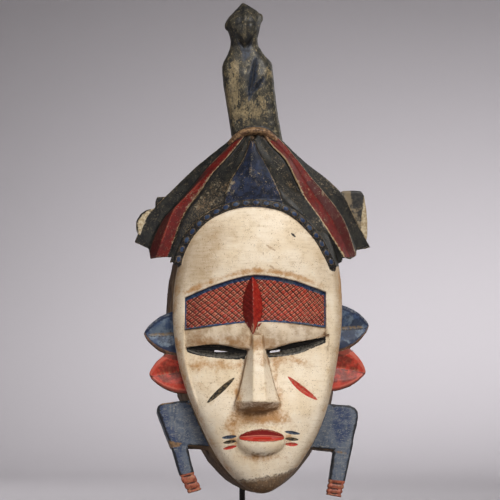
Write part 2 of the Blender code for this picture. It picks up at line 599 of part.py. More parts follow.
def figure(detail=DETAIL):
    """The crest: an armless standing figure, leaning to the viewer's left."""
    #        z      left    right   front  back  squareness
    spec = [
        (366.0, -20.0, 22.0, -2.0, 24.0, 0.50),
        (376.0, -20.6, 22.2, -3.0, 24.0, 0.50),
        (396.0, -23.9, 18.4, -5.0, 22.5, 0.50),
        (417.0, -27.4, 15.6, -6.5, 21.0, 0.52),
        (430.5, -29.0, 14.3, -7.0, 20.0, 0.52),
        (438.0, -29.6, 13.6, -6.4, 19.0, 0.56),
        (441.5, -28.4, 12.4, -6.0, 18.5, 0.62),
        (449.0, -24.4, 5.6, -4.6, 16.6, 0.72),
        (455.0, -22.6, 1.6, -4.4, 15.6, 0.80),
        (459.0, -22.2, 0.8, -8.0, 15.4, 0.84),
        (463.5, -23.4, 1.0, -10.6, 15.8, 0.86),
        (470.0, -25.4, 2.6, -11.4, 16.2, 0.84),
        (476.0, -26.6, 4.0, -10.6, 16.4, 0.86),
        (480.0, -24.2, 4.2, -9.4, 16.2, 0.92),
        (485.0, -19.4, 1.2, -6.6, 14.6, 1.0),
        (489.5, -15.4, -5.6, -2.4, 11.0, 1.0),
        (492.4, -12.8, -11.4, 1.6, 5.4, 1.0),
    ]
    cols = np.array(spec)
    zs = cols[:, 0]
    m = len(zs) if detail == 1 else 24 * detail
    zz = zs if detail == 1 else np.linspace(zs[0], zs[-1], m)
    n = 20 * detail
    rings = []
    for z in zz:
        left, right, front, back, sq = (float(np.interp(z, zs, cols[:, j])) for j in range(1, 6))
        a = np.linspace(0, 2 * np.pi, n, endpoint=False) + np.pi / n
        cx, cy = (left + right) / 2, (front + back) / 2
        hx, hy = (right - left) / 2, (back - front) / 2
        x = cx + hx * np.sign(np.cos(a)) * np.abs(np.cos(a)) ** sq
        y = cy + hy * np.sign(np.sin(a)) * np.abs(np.sin(a)) ** sq
        rings.append(np.c_[x, y, np.full(n, z)])
    return loft("add_figure", rings)


def collar(detail=DETAIL):
    """The low arched rim at the crest's foot, over the tops of the strips."""
    path = [(-24.0, 2.5, 370.0), (-19.0, -2.0, 375.0), (-12.1, -6.2, 379.2), (-3.6, -7.6, 381.0), (6.7, -6.4, 379.8), (13.0, -3.2, 376.0), (18.5, 1.0, 371.4)]
    n = 8 * detail + 1
    p = spline(path, np.linspace(0, 1, n))
    m = 6 * detail
    turn = np.linspace(0, 2 * np.pi, m, endpoint=False) + 0.2
    rings = []
    for i in range(n):
        d = (p[min(i + 1, n - 1)] - p[max(i - 1, 0)])[[0, 2]]
        d /= np.linalg.norm(d)
        k = 0.55 + 0.45 * math.sin(math.pi * i / (n - 1)) ** 0.5
        rings.append([(p[i][0] - d[1] * 3.4 * k * math.cos(a), p[i][1] + 6.5 * k * math.sin(a), p[i][2] + d[0] * 3.4 * k * math.cos(a)) for a in turn])
    return loft("add_collar", rings)


def figure_ear(name, x, z, side):
    return ellipsoid(name, (x, 2.0, z), (2.6, 4.0, 4.2), 10, 6)


# ---------------------------------------------------------------- assembly
def build_mask():
    mask = shield()
    adds, cuts = [], []
    cuts += [band_recess(), cheek_cut()]
    adds += [nose(), lozenge(), mouth(), coiffure(), headband(), horn_right(), horn_left(), knob_left()]
    adds += [
        lobe("add_ear_blue_left", (-66, 229), (-64, 190), (-95.6, 209.0), 5.0, 14, -1),
        lobe("add_ear_red_left", (-62, 199), (-54, 158.5), (-91.0, 174.4), 6.0, 14, -1),
        lobe("add_ear_blue_right", (66, 234.5), (66, 193.0), (96.6, 216.0), 5.0, 14, 1, rise=0.46),
        lobe("add_ear_red_right", (64, 203.0), (58, 160.0), (93.8, 176.4), 6.0, 14, 1, rise=0.56),
    ]
    adds += [
        board("add_block_left", [(-84.6, 145.0), (-83.6, 148.2), (-80.6, 150.2), (-70.0, 151.8), (-55.0, 153.0), (-46.2, 133.0), (-37.5, 113.0), (-60.4, 114.6), (-72.8, 114.4)], 11, 25, under=3.6),
        leg("add_leg_left", [(-67.6, 122.0), (-62.2, 102.0), (-57.8, 88.0), (-51.8, 75.2)], (7.0, 6.0), 11.4, 24),
        board("add_block_right", [(57.6, 148.9), (66.0, 149.4), (80.0, 148.6), (85.0, 146.4), (87.4, 142.8), (87.6, 138.0), (81.6, 110.6), (66.2, 110.0), (43.5, 112.4), (50.6, 131.0)], 11, 25, under=2.0),
        leg("add_leg_right", [(75.6, 118.0), (73.0, 104.0), (69.6, 86.0), (66.4, 71.2)], (8.0, 6.4), 11.4, 24),
        figure(),
        collar(),
        figure_ear("add_crest_ear_left", -25.2, 472.2, -1),
        figure_ear("add_crest_ear_right", 3.0, 479.4, 1),
    ]
    left_eye = eye_cut("cut_eye_left", -59.4, -9.6, lambda x: lid_line(x) + 1.3, lambda x: along([-60, -50, -38, -26, -9], [193.2, 190.6, 188.8, 187.4, 187.2], x), lambda x: along([-60, -38, -9], [195.4, 193.2, 191.6], x), (-41, -19, 0.45))
    right_eye = eye_cut("cut_eye_right", 6.4, 56.6, lambda x: lid_line(x) + 1.3, lambda x: along([6, 22, 36, 48, 57], [188.6, 190.0, 192.8, 197.6, 201.4], x), lambda x: along([6, 28, 57], [191.6, 195.4, 203.6], x), (9.6, 26, 0.45))
    scars = [
        trough("cut_scar_left", (-43.6, 149.8), (-20.0, 171.6), 1.9, 1.9, 2.4, surface=cheek_y),
        trough("cut_scar_right", (24.6, 172.4), (50.0, 152.6), 2.2, 2.2, 2.4, bow=-1.0, surface=cheek_y),
    ]
    cuts += [*left_eye, *right_eye, *scars]
    for obj in cuts:
        boolean(mask, obj, "DIFFERENCE")
    for obj in adds:
        boolean(mask, obj, "UNION")
    late = [mouth_cut(), hollow()]
    for obj in late:
        boolean(mask, obj, "DIFFERENCE")
    return mask, [*cuts, *adds, *late]


def stand_foot():
    bpy.ops.mesh.primitive_cube_add(size=1)
    foot = bpy.context.object
    foot.name = "stand_foot"
    foot.data.transform(Matrix.Diagonal((FOOT_W * MM, FOOT_D * MM, FOOT_H * MM, 1)))
    foot.location = (0, 0, FOOT_H * MM / 2)
    bevel = foot.modifiers.new("edges", "BEVEL")
    bevel.width = 1.2 * MM
    bevel.segments = 2
    bpy.ops.mesh.primitive_cylinder_add(vertices=24, radius=(ROD_R + GAP) * MM, depth=12 * MM, location=(ROD_X * MM, (ROD_Y + PLACE[1]) * MM, (FOOT_H + 0.5) * MM))
    socket = bpy.context.object
    socket.name = "cut_socket"
    boolean(foot, socket, "DIFFERENCE")
    return foot, [socket]


def stand_rod():
    """The rod stands in the foot, rises behind the chin and hooks forward under the hollow's roof."""
    y, top = ROD_Y, ROOF_Z - GAP - ROD_R
    bend = [(y, top - 24), (y - 1.2, top - 14), (y - 5, top - 6), (y - 11, top - 1.8), (y - 18, top - 1.2), (y - 28, top - 1.8), (y - 38, top - 2.4)]
    route = [(ROD_X, y, z) for z in (FOOT_H - 5.0, 60, 150, 240)] + [(ROD_X, v, z) for v, z in bend]
    data = bpy.data.curves.new("stand_rod", "CURVE")
    data.dimensions = "3D"
    data.bevel_depth = ROD_R * MM
    data.bevel_resolution = 3
    data.use_fill_caps = True
    line = data.splines.new("POLY")
    pts = np.vstack([route[:4], spline(route[4:], np.linspace(0, 1, 16))])
    line.points.add(len(pts) - 1)
    for p, q in zip(line.points, pts):
        p.co = (*[(c + o) * MM for c, o in zip(q, PLACE)], 1)
    rod = bpy.data.objects.new("stand_rod", data)
    bpy.context.scene.collection.objects.link(rod)
    return rod


def material(name, colour, roughness, metallic=0.0):
    mat = bpy.data.materials.new(name)
    mat.use_nodes = True
    shader = mat.node_tree.nodes["Principled BSDF"]
    shader.inputs["Base Color"].default_value = (*colour, 1)
    shader.inputs["Roughness"].default_value = roughness
    shader.inputs["Metallic"].default_value = metallic
    return mat


def main():
    for obj in list(bpy.data.objects):
        bpy.data.objects.remove(obj)
    mask, tools = build_mask()
    foot, more = stand_foot()
    rod = stand_rod()
    tools += more
    parts = bpy.data.collections.new("carved_mask_on_stand")
    cutters = bpy.data.collections.new("cutters")
    for c in (parts, cutters):
        bpy.context.scene.collection.children.link(c)
    for group, objs in ((parts, (mask, foot, rod)), (cutters, tools)):
        for obj in objs:
            for c in list(obj.users_collection):
                c.objects.unlink(obj)
            group.objects.link(obj)
    for obj in tools:
        obj.hide_render = True
        obj.display_type = "WIRE"
    mask.data.materials.append(material("painted_wood", (0.72, 0.64, 0.50), 0.5))
    steel = material("black_steel", (0.02, 0.02, 0.022), 0.45, 0.6)
    foot.data.materials.append(steel)
    rod.data.materials.append(steel)
    smart_flat(mask)


main()
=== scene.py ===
"""The looks of a carved and painted wooden face mask with a crest figure, on its steel display stand.

Every size in the modelling below is in millimetres, on the mask's own axes: X runs to the viewer's
right, Y from the front of the mask to its back with zero at the face's edge, and Z up. PLACE moves
that to the frame's axes. The mask is carved as one closed mesh from overlapping forms, given its
tool marks, cuts and chips, and painted from signed distances in millimetres held on its points.
"""

import math

import bmesh
import bpy
import numpy as np
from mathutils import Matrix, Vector
from mathutils.bvhtree import BVHTree
from mathutils.kdtree import KDTree


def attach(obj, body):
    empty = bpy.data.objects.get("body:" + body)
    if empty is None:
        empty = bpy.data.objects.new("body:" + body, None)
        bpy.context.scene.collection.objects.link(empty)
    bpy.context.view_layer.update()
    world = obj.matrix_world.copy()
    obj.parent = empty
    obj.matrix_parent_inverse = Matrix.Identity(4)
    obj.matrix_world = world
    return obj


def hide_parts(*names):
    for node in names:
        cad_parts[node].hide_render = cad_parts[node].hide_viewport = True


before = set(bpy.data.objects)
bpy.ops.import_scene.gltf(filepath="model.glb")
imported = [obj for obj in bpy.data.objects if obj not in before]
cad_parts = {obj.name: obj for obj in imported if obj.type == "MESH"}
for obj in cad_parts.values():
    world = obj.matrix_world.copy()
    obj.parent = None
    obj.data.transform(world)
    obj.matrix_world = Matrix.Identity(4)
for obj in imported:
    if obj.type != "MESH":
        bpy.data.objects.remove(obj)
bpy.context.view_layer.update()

# ---------------------------------------------------------------- named sizes (mm)
MM = 0.001
# face shield, seen from the front
FACE_MID_Z = 226.0  # height of the widest place
FACE_HALF_W = 72.0
CHIN_Z = 73.8
CROWN_Z = 345.0  # top of the shield, under the coiffure
CHIN_EXP = (1.7, 0.58)  # half width = W * (1 - t^a)^b below the widest place
CROWN_EXP = (2.2, 0.50)  # and above it
BROW_DEPTH = 26.0  # how far the face stands before its own edge
FOREHEAD_DEPTH = 34.0
# the shell behind the face
RIM_Y = 48.0
RIM_HALF_W = 76.0
RIM_EXP = (2.0, 0.52)
RIM_LOW_Z = 73.0
WALL = 9.0
HOLLOW_SETBACK = 16.0  # thickness of wood behind brow and forehead
HOLLOW_TOP_Z = 318.0
# stand
ROD_X, ROD_Y, ROD_R = -9.0, 54.0, 2.5
ROOF_Z = 316.7  # the wood that the rod's hook carries
FOOT_W, FOOT_D, FOOT_H = 150.0, 130.0, 8.0
GAP = 0.3
PLACE = (0.0, -20.0, 0.0)  # from the mask's own axes, whose Y starts at the face's edge, to the foot's
DETAIL = 4  # how finely the lofts are divided


# ---------------------------------------------------------------- small mathematics
def smooth(e0, e1, x):
    t = np.clip((np.asarray(x, float) - e0) / (e1 - e0), 0, 1)
    return t * t * (3 - 2 * t)


def spline(points, t):
    """Catmull-Rom curve through points, at parameters t in 0..1 by length."""
    p = np.asarray(points, float)
    if p.ndim == 1:
        p = p[:, None]
    d = np.r_[0, np.cumsum(np.linalg.norm(np.diff(p, axis=0), axis=1) ** 0.75)]
    k = d / d[-1]
    t = np.clip(np.atleast_1d(np.asarray(t, float)), 0, 1)
    i = np.clip(np.searchsorted(k, t, side="right") - 1, 0, len(p) - 2)
    m = np.empty_like(p)
    m[1:-1] = (p[2:] - p[:-2]) / (k[2:] - k[:-2])[:, None]
    m[0] = (p[1] - p[0]) / (k[1] - k[0])
    m[-1] = (p[-1] - p[-2]) / (k[-1] - k[-2])
    h = (k[i + 1] - k[i])[:, None]
    u = ((t - k[i])[:, None]) / h
    return (
        (2 * u**3 - 3 * u**2 + 1) * p[i]
        + (u**3 - 2 * u**2 + u) * h * m[i]
        + (-2 * u**3 + 3 * u**2) * p[i + 1]
        + (u**3 - u**2) * h * m[i + 1]
    )


def along(xs, ys, x):
    """A smooth curve y(x) through a few named stations."""
    xs, ys = np.asarray(xs, float), np.asarray(ys, float)
    m = np.gradient(ys, xs)
    x = np.clip(np.asarray(x, float), xs[0], xs[-1])
    i = np.clip(np.searchsorted(xs, x, side="right") - 1, 0, len(xs) - 2)
    h = xs[i + 1] - xs[i]
    u = (x - xs[i]) / h
    return (
        (2 * u**3 - 3 * u**2 + 1) * ys[i]
        + (u**3 - 2 * u**2 + u) * h * m[i]
        + (-2 * u**3 + 3 * u**2) * ys[i + 1]
        + (u**3 - u**2) * h * m[i + 1]
    )


# ---------------------------------------------------------------- the face as a surface
def centre_x(z):
    """The carver's centre line drifts to the right towards the chin."""
    return along([70, 95, 130, 180, 226, 290, 345], [4.2, 3.2, 3.4, 0.8, 0.5, 1.6, 1.0], z)


def half_width(z, w, low, top, low_exp, top_exp):
    z = np.asarray(z, float)
    below = np.clip((FACE_MID_Z - z) / (FACE_MID_Z - low), 0, 1)
    above = np.clip((z - FACE_MID_Z) / (top - FACE_MID_Z), 0, 1)
    return np.where(
        z < FACE_MID_Z,
        w * np.maximum(1 - below ** low_exp[0], 0) ** low_exp[1],
        w * np.maximum(1 - above ** top_exp[0], 0) ** top_exp[1],
    )


def face_half(z):
    return half_width(z, FACE_HALF_W, CHIN_Z, CROWN_Z, CHIN_EXP, CROWN_EXP)


def profile_depth(z):
    """How far the centre line stands in front of the face's edge, at each height."""
    z = np.asarray(z, float)
    below = np.clip((FACE_MID_Z - z) / (FACE_MID_Z - CHIN_Z), 0, 1)
    above = np.clip((z - FACE_MID_Z) / (CROWN_Z - FACE_MID_Z), 0, 1)
    full = BROW_DEPTH + (FOREHEAD_DEPTH - BROW_DEPTH) * smooth(226, 275, z)
    return full * np.where(
        z < FACE_MID_Z, np.maximum(1 - below**5, 0) ** 0.5, np.maximum(1 - above**4, 0) ** 0.5
    )


def face_y(x, z):
    """The face's front surface before anything is cut into it: half ellipses with a soft side facet."""
    w = np.maximum(face_half(z), 1e-6)
    s = np.clip(np.abs(np.asarray(x, float) - centre_x(z)) / w, 0, 1)
    return -profile_depth(z) * np.sqrt(np.maximum(1 - s**2.15, 0))


def hollow_y(x, z, w):
    s = np.clip(np.abs(np.asarray(x, float) - centre_x(z)) / np.maximum(w, 1e-6), 0, 1)
    return -np.maximum(profile_depth(z) - HOLLOW_SETBACK, 0.5) * np.sqrt(np.maximum(1 - s**2, 0))


def outline(n, w, low, top, low_exp, top_exp, inset=0.0):
    """n points round an egg-shaped outline, evenly spaced, from the lowest point."""
    a = np.linspace(0, 2 * np.pi, 1441)[:-1]
    s, c = np.sin(a - np.pi / 2), np.cos(a - np.pi / 2)
    t = np.where(s < 0, np.abs(s) ** (2 / low_exp[0]), np.abs(s) ** (2 / top_exp[0]))
    z = np.where(s < 0, FACE_MID_Z - t * (FACE_MID_Z - low), FACE_MID_Z + t * (top - FACE_MID_Z))
    e = np.where(s < 0, 2 * low_exp[1], 2 * top_exp[1])
    x = centre_x(z) + np.sign(c) * w * np.abs(c) ** e
    if inset:
        mid = np.array([centre_x(FACE_MID_Z), FACE_MID_Z])
        p = np.c_[x, z]
        d = np.roll(p, -1, 0) - np.roll(p, 1, 0)
        nrm = np.c_[-d[:, 1], d[:, 0]] / np.linalg.norm(d, axis=1)[:, None]
        nrm *= np.sign(((mid - p) * nrm).sum(1))[:, None]
        p = p + nrm * inset
        x, z = p[:, 0], p[:, 1]
    p = np.c_[x, z]
    closed = np.r_[p, p[:1]]
    d = np.r_[0, np.cumsum(np.linalg.norm(np.diff(closed, axis=0), axis=1))]
    u = np.linspace(0, d[-1], n + 1)[:-1]
    return np.c_[np.interp(u, d, closed[:, 0]), np.interp(u, d, closed[:, 1])]


# ---------------------------------------------------------------- mesh helpers
def new_object(name, verts, faces):
    mesh = bpy.data.meshes.new(name)
    mesh.from_pydata([tuple(v) for v in (np.asarray(verts, float) + PLACE) * MM], [], faces)
    bm = bmesh.new()
    bm.from_mesh(mesh)
    bmesh.ops.remove_doubles(bm, verts=bm.verts, dist=1e-6)
    bmesh.ops.dissolve_degenerate(bm, edges=bm.edges, dist=1e-7)
    bmesh.ops.triangulate(bm, faces=[f for f in bm.faces if len(f.verts) > 4])
    bmesh.ops.recalc_face_normals(bm, faces=bm.faces)
    bm.to_mesh(mesh)
    bm.free()
    obj = bpy.data.objects.new(name, mesh)
    bpy.context.scene.collection.objects.link(obj)
    return obj


def loft(name, rings, hubs=(None, None)):
    """A closed skin over rings of equal length. An end is one flat face, or a fan about its hub."""
    rings = [np.asarray(r, float) for r in rings]
    n = len(rings[0])
    verts = list(np.vstack(rings))
    faces = []
    for k in range(len(rings) - 1):
        a, b = k * n, (k + 1) * n
        faces += [(a + i, a + (i + 1) % n, b + (i + 1) % n, b + i) for i in range(n)]
    for k, flip, hub in ((0, False, hubs[0]), (len(rings) - 1, True, hubs[1])):
        if hub is None:
            f = tuple(range(k * n, (k + 1) * n))
            faces.append(f if flip else f[::-1])
            continue
        verts.append(np.asarray(hub, float))
        for i in range(n):
            f = (k * n + i, k * n + (i + 1) % n, len(verts) - 1)
            faces.append(f if flip else f[::-1])
    return new_object(name, verts, faces)


def slab(name, front, back):
    """A closed solid between two grids of the same size."""
    front, back = np.asarray(front, float), np.asarray(back, float)
    m, n = front.shape[:2]
    verts = np.vstack([front.reshape(-1, 3), back.reshape(-1, 3)])
    o = m * n
    faces = []
    for i in range(m - 1):
        for j in range(n - 1):
            a, b, c, d = i * n + j, i * n + j + 1, (i + 1) * n + j + 1, (i + 1) * n + j
            faces += [(a, b, c, d), (o + d, o + c, o + b, o + a)]
    for i in range(m - 1):
        for j in (0, n - 1):
            a, b = i * n + j, (i + 1) * n + j
            faces.append((a, b, o + b, o + a) if j == 0 else (b, a, o + a, o + b))
    for j in range(n - 1):
        for i in (0, m - 1):
            a, b = i * n + j, i * n + j + 1
            faces.append((b, a, o + a, o + b) if i == 0 else (a, b, o + b, o + a))
    return new_object(name, verts, faces)


def trough(name, p0, p1, half_up, half_down, depth, stations=9, out=-75.0, power=0.6, bow=0.0, surface=face_y, lift=0.4):
    """A tapering V-shaped cut on the face along the line p0 to p1, given as (x, z)."""
    p0, p1 = np.asarray(p0, float), np.asarray(p1, float)
    d = (p1 - p0) / np.linalg.norm(p1 - p0)
    nrm = np.array([-d[1], d[0]])
    if nrm[1] < 0:
        nrm = -nrm
    rings = []
    for s in np.linspace(0, 1, stations):
        k = max(math.sin(math.pi * s), 0.0) ** power * 0.985 + 0.015
        c = p0 + (p1 - p0) * s + nrm * bow * math.sin(math.pi * s)
        up, down = c + nrm * half_up * k, c - nrm * half_down * k
        ring = []
        for q, y in ((up, out), (up, None), (c, depth * k), (down, None), (down, out)):
            yy = surface(q[0], q[1]) - lift if y is None else y
            if y is not None and y > 0:
                yy = surface(q[0], q[1]) + y
            ring.append((q[0], float(yy), q[1]))
        rings.append(ring)
    return loft(name, rings)


def smart_flat(obj, angle=35):
    obj.data.shade_smooth()
    obj.data.set_sharp_from_angle(angle=math.radians(angle))
    return obj


def boolean(target, tool, operation):
    mod = target.modifiers.new(tool.name, "BOOLEAN")
    mod.operation = operation
    mod.object = tool
    mod.solver = "EXACT"
    return mod


# ---------------------------------------------------------------- the shield and its hollow
def shield(detail=DETAIL):
    """The face and its side walls, as one solid block."""
    n = 56 * detail
    face = outline(n, FACE_HALF_W, CHIN_Z, CROWN_Z, CHIN_EXP, CROWN_EXP)
    rim = outline(n, RIM_HALF_W, RIM_LOW_Z, CROWN_Z - 3, RIM_EXP, CROWN_EXP)
    hub = np.array([1.0, 205.0])
    rings = []
    m = 9 * detail
    for k in range(m):
        rho = math.sin(math.pi / 2 * (k + 0.6) / (m - 0.4))
        q = hub + rho * (face - hub)
        y = face_y(q[:, 0], q[:, 1]) if rho < 0.9999 else np.zeros(n)
        rings.append(np.c_[q[:, 0], y, q[:, 1]])

    def at(shape, y):
        return np.c_[shape[:, 0], np.full(n, y), shape[:, 1]]

    neck = face + 0.035 * (hub - face) * np.array([1.0, 0.8])
    rings.append(at(face, 3.0))
    rings.append(at(neck * 0.55 + face * 0.45, 6.5))
    for f in (0.25, 0.6, 1.0):
        rings.append(at(face + (rim - face) * f, 6.5 + (RIM_Y - 6.5) * f))
    return loft("mask", rings, (rings[0].mean(0), (hub[0], RIM_Y, hub[1])))


def hollow(detail=DETAIL):
    """The hollow behind the face, as a cutter that runs out past the rim."""
    n = 48 * detail
    inner_rim = outline(n, RIM_HALF_W - WALL, RIM_LOW_Z + WALL + 2, HOLLOW_TOP_Z, RIM_EXP, CROWN_EXP)
    inner_face = outline(n, FACE_HALF_W - WALL, CHIN_Z + WALL + 5, HOLLOW_TOP_Z - 3, CHIN_EXP, CROWN_EXP)
    hub = np.array([1.0, 205.0])
    rings = [np.c_[q[:, 0], np.full(n, y), q[:, 1]] for q, y in ((inner_rim, RIM_Y + 8.0), (inner_rim, RIM_Y - 6.0), ((inner_rim + inner_face) / 2, RIM_Y * 0.4))]
    m = 6 * detail
    for k in range(m - 1, -1, -1):
        rho = math.sin(math.pi / 2 * (k + 0.6) / (m - 0.4))
        q = hub + rho * (inner_face - hub)
        w = half_width(q[:, 1], FACE_HALF_W - WALL, CHIN_Z + WALL + 5, HOLLOW_TOP_Z - 3, CHIN_EXP, CROWN_EXP)
        y = hollow_y(q[:, 0], q[:, 1], w) if rho < 0.9999 else np.zeros(n)
        rings.append(np.c_[q[:, 0], y, q[:, 1]])
    return loft("cut_hollow", rings, ((hub[0], RIM_Y + 8.0, hub[1]), rings[-1].mean(0)))


# ---------------------------------------------------------------- brow band, cheeks, eyes, nose, mouth
BAND_X = (-61.8, 57.0)


def band_top(x):
    return along([-62, -37, -6, 26, 57], [238.5, 248.8, 256.6, 253.2, 243.5], x)


def band_low(x):
    return along([-62, -37, -6, 26, 57], [211.5, 214.4, 217.6, 217.0, 213.6], x)


def lid_line(x):
    """The lower edge of the lids, where the cheeks are cut back."""
    return along([-66, -59, -47, -30, -9, 4, 31, 45, 55, 63], [197.8, 198.0, 198.2, 197.6, 195.6, 195.4, 199.8, 203.0, 206.6, 209.7], x)


def band_recess(detail=DETAIL, depth=3.4):
    m, n = 3 * detail + 1, 14 * detail + 1
    front, back = np.zeros((m, n, 3)), np.zeros((m, n, 3))
    for i, v in enumerate(np.linspace(0, 1, m)):
        x = np.linspace(BAND_X[0], BAND_X[1], n)
        z = band_low(x) * (1 - v) + band_top(x) * v
        front[i] = np.c_[x, face_y(x, z) + depth, z]
        back[i] = np.c_[x, np.full(n, -75.0), z]
    return slab("cut_band", front, back)


def cheek_depth(x, z):
    """How far the cheeks lie behind the brow's surface; below zero is outside the wood."""
    lid = lid_line(x)
    fade = 1 - smooth(6, 74, lid - z)
    side = 1 - smooth(38, 66, np.abs(x + 1))
    return 9.5 * fade * (0.28 + 0.72 * side) - 1.2 * (1 - fade) - 1.6 * smooth(57, 63, np.abs(x + 1.5))


def cheek_cut(detail=DETAIL):
    m, n = 9 * detail + 1, 18 * detail + 1
    front, back = np.zeros((m, n, 3)), np.zeros((m, n, 3))
    for i, v in enumerate(np.linspace(0, 1, m)):
        u = np.linspace(-1, 1, n)
        top = lid_line(u * 60)
        z0 = top * (1 - v) + 112.0 * v
        half = np.minimum(61.0, face_half(z0) * 0.90)
        x = centre_x(z0) + u * half - 1.0
        z = lid_line(x) * (1 - v) + 112.0 * v
        front[i] = np.c_[x, face_y(x, z) + cheek_depth(x, z), z]
        back[i] = np.c_[x, np.full(n, -75.0), z]
    return slab("cut_cheeks", front, back)


def cheek_y(x, z):
    return face_y(x, z) + np.maximum(cheek_depth(x, z), 0.0)


def eye_cut(name, x0, x1, upper, lower, valley, slit, detail=DETAIL):
    """An almond-shaped trough whose floor is pierced by a slit. Each curve gives z at x."""
    n = 12 * detail + 1
    trough_rings, slit_rings = [], []
    for s in np.linspace(0, 1, n):
        x = x0 + (x1 - x0) * s
        k = max(math.sin(math.pi * s), 0.0) ** 0.45 * 0.84 + 0.16
        zu, zl, zv = (float(f(x)) for f in (upper, lower, valley))
        zu, zl = zv + (zu - zv) * k, zv + (zl - zv) * k
        ys = float(cheek_y(x, zv - 2))
        yv = ys + 3.4 * k
        # the upper wall runs back under the lid, the lower one slopes forward
        trough_rings.append([(x, -75, zu), (x, ys - 1, zu), (x, yv, zv + 0.55 * (zu - zv)), (x, yv, zv - 0.2), (x, ys - 0.4, zl), (x, -75, zl)])
    for s in np.linspace(0, 1, n):
        x = slit[0] + (slit[1] - slit[0]) * s
        k = max(math.sin(math.pi * s), 0.0) ** 0.5 * 0.93 + 0.07
        zv = float(valley(x)) + 0.4
        h = slit[2] * k
        slit_rings.append([(x, -75, zv + h), (x, 40, zv + h + 1.6), (x, 40, zv - h - 0.2), (x, -75, zv - h)])
    return loft(name, trough_rings), loft(name + "_slit", slit_rings)


def nose(detail=DETAIL):
    rings = []
    n = 7 * detail + 1
    for k, s in enumerate(np.linspace(0, 1, n)):
        z = 207.0 + (151.0 - 207.0) * s
        x = -1.6 + 0.4 * s
        flare = s + 0.22 * s**6
        foot = 4.6 + 11.4 * flare
        crest = 3.6 + 1.8 * s
        tip = -29.0 - 17.5 * s**1.15
        side = -22.0 - 9.0 * s**2
        rings.append([(x - foot, -8, z), (x - foot, side, z), (x - crest, tip, z), (x + crest, tip - 0.4, z), (x + foot, side, z), (x + foot, -8, z)])
    last = np.array(rings[-1])
    drop = np.array([-11.0, -4.0, 0.0, 0.0, -4.0, -11.0])
    under = last.copy()
    under[:, 1] = [-8, -20, -26, -26, -20, -8]
    under[:, 2] += np.array([-10, -7.0, -7.2, -7.2, -6.4, -10])
    rings.append(under)
    return loft("add_nose", rings)


def lozenge(detail=DETAIL):
    rings = []
    for s in np.linspace(0, 1, 8 * detail + 1):
        z = 255.6 + (206.0 - 255.6) * s
        x = -5.7 + 0.5 * s
        k = max(math.sin(math.pi * s), 0) ** 0.8 * 0.97 + 0.03
        base = float(face_y(x, z))
        w = 8.1 * k
        rings.append([(x - w, base + 8, z), (x - w, base + 2.6, z), (x - 0.3, base + 2.2 - 10.5 * k**0.8, z), (x + w, base + 2.6, z), (x + w, base + 8, z)])
    return loft("add_lozenge", rings)


def ellipsoid(name, centre, radii, segments, rings):
    bm = bmesh.new()
    bmesh.ops.create_uvsphere(bm, u_segments=segments, v_segments=rings, radius=1.0)
    bmesh.ops.scale(bm, vec=[r * MM for r in radii], verts=bm.verts)
    bmesh.ops.translate(bm, vec=[(c + p) * MM for c, p in zip(centre, PLACE)], verts=bm.verts)
    mesh = bpy.data.meshes.new(name)
    bm.to_mesh(mesh)
    bm.free()
    obj = bpy.data.objects.new(name, mesh)
    bpy.context.scene.collection.objects.link(obj)
    return obj


def mouth(detail=DETAIL):
    return ellipsoid("add_lips", (2.3, -20.5, 119.2), (20.4, 11.5, 13.4), 24 * detail, 14 * detail)


def mouth_cut(detail=DETAIL):
    rings = []
    for s in np.linspace(0, 1, 12 * detail + 1):
        x = -16.8 + (21.0 + 16.8) * s
        k = max(math.sin(math.pi * s), 0) ** 0.5 * 0.95 + 0.05
        zv = 121.2 + 1.4 * math.sin(math.pi * s)
        zu, zl = zv + 5.0 * k, zv - 3.0 * k
        rings.append([(x, -60, zu + 0.4), (x, -30.5, zu), (x, -23.5, zv), (x, -31.0, zl), (x, -60, zl - 0.4)])
    return loft("cut_mouth", rings)


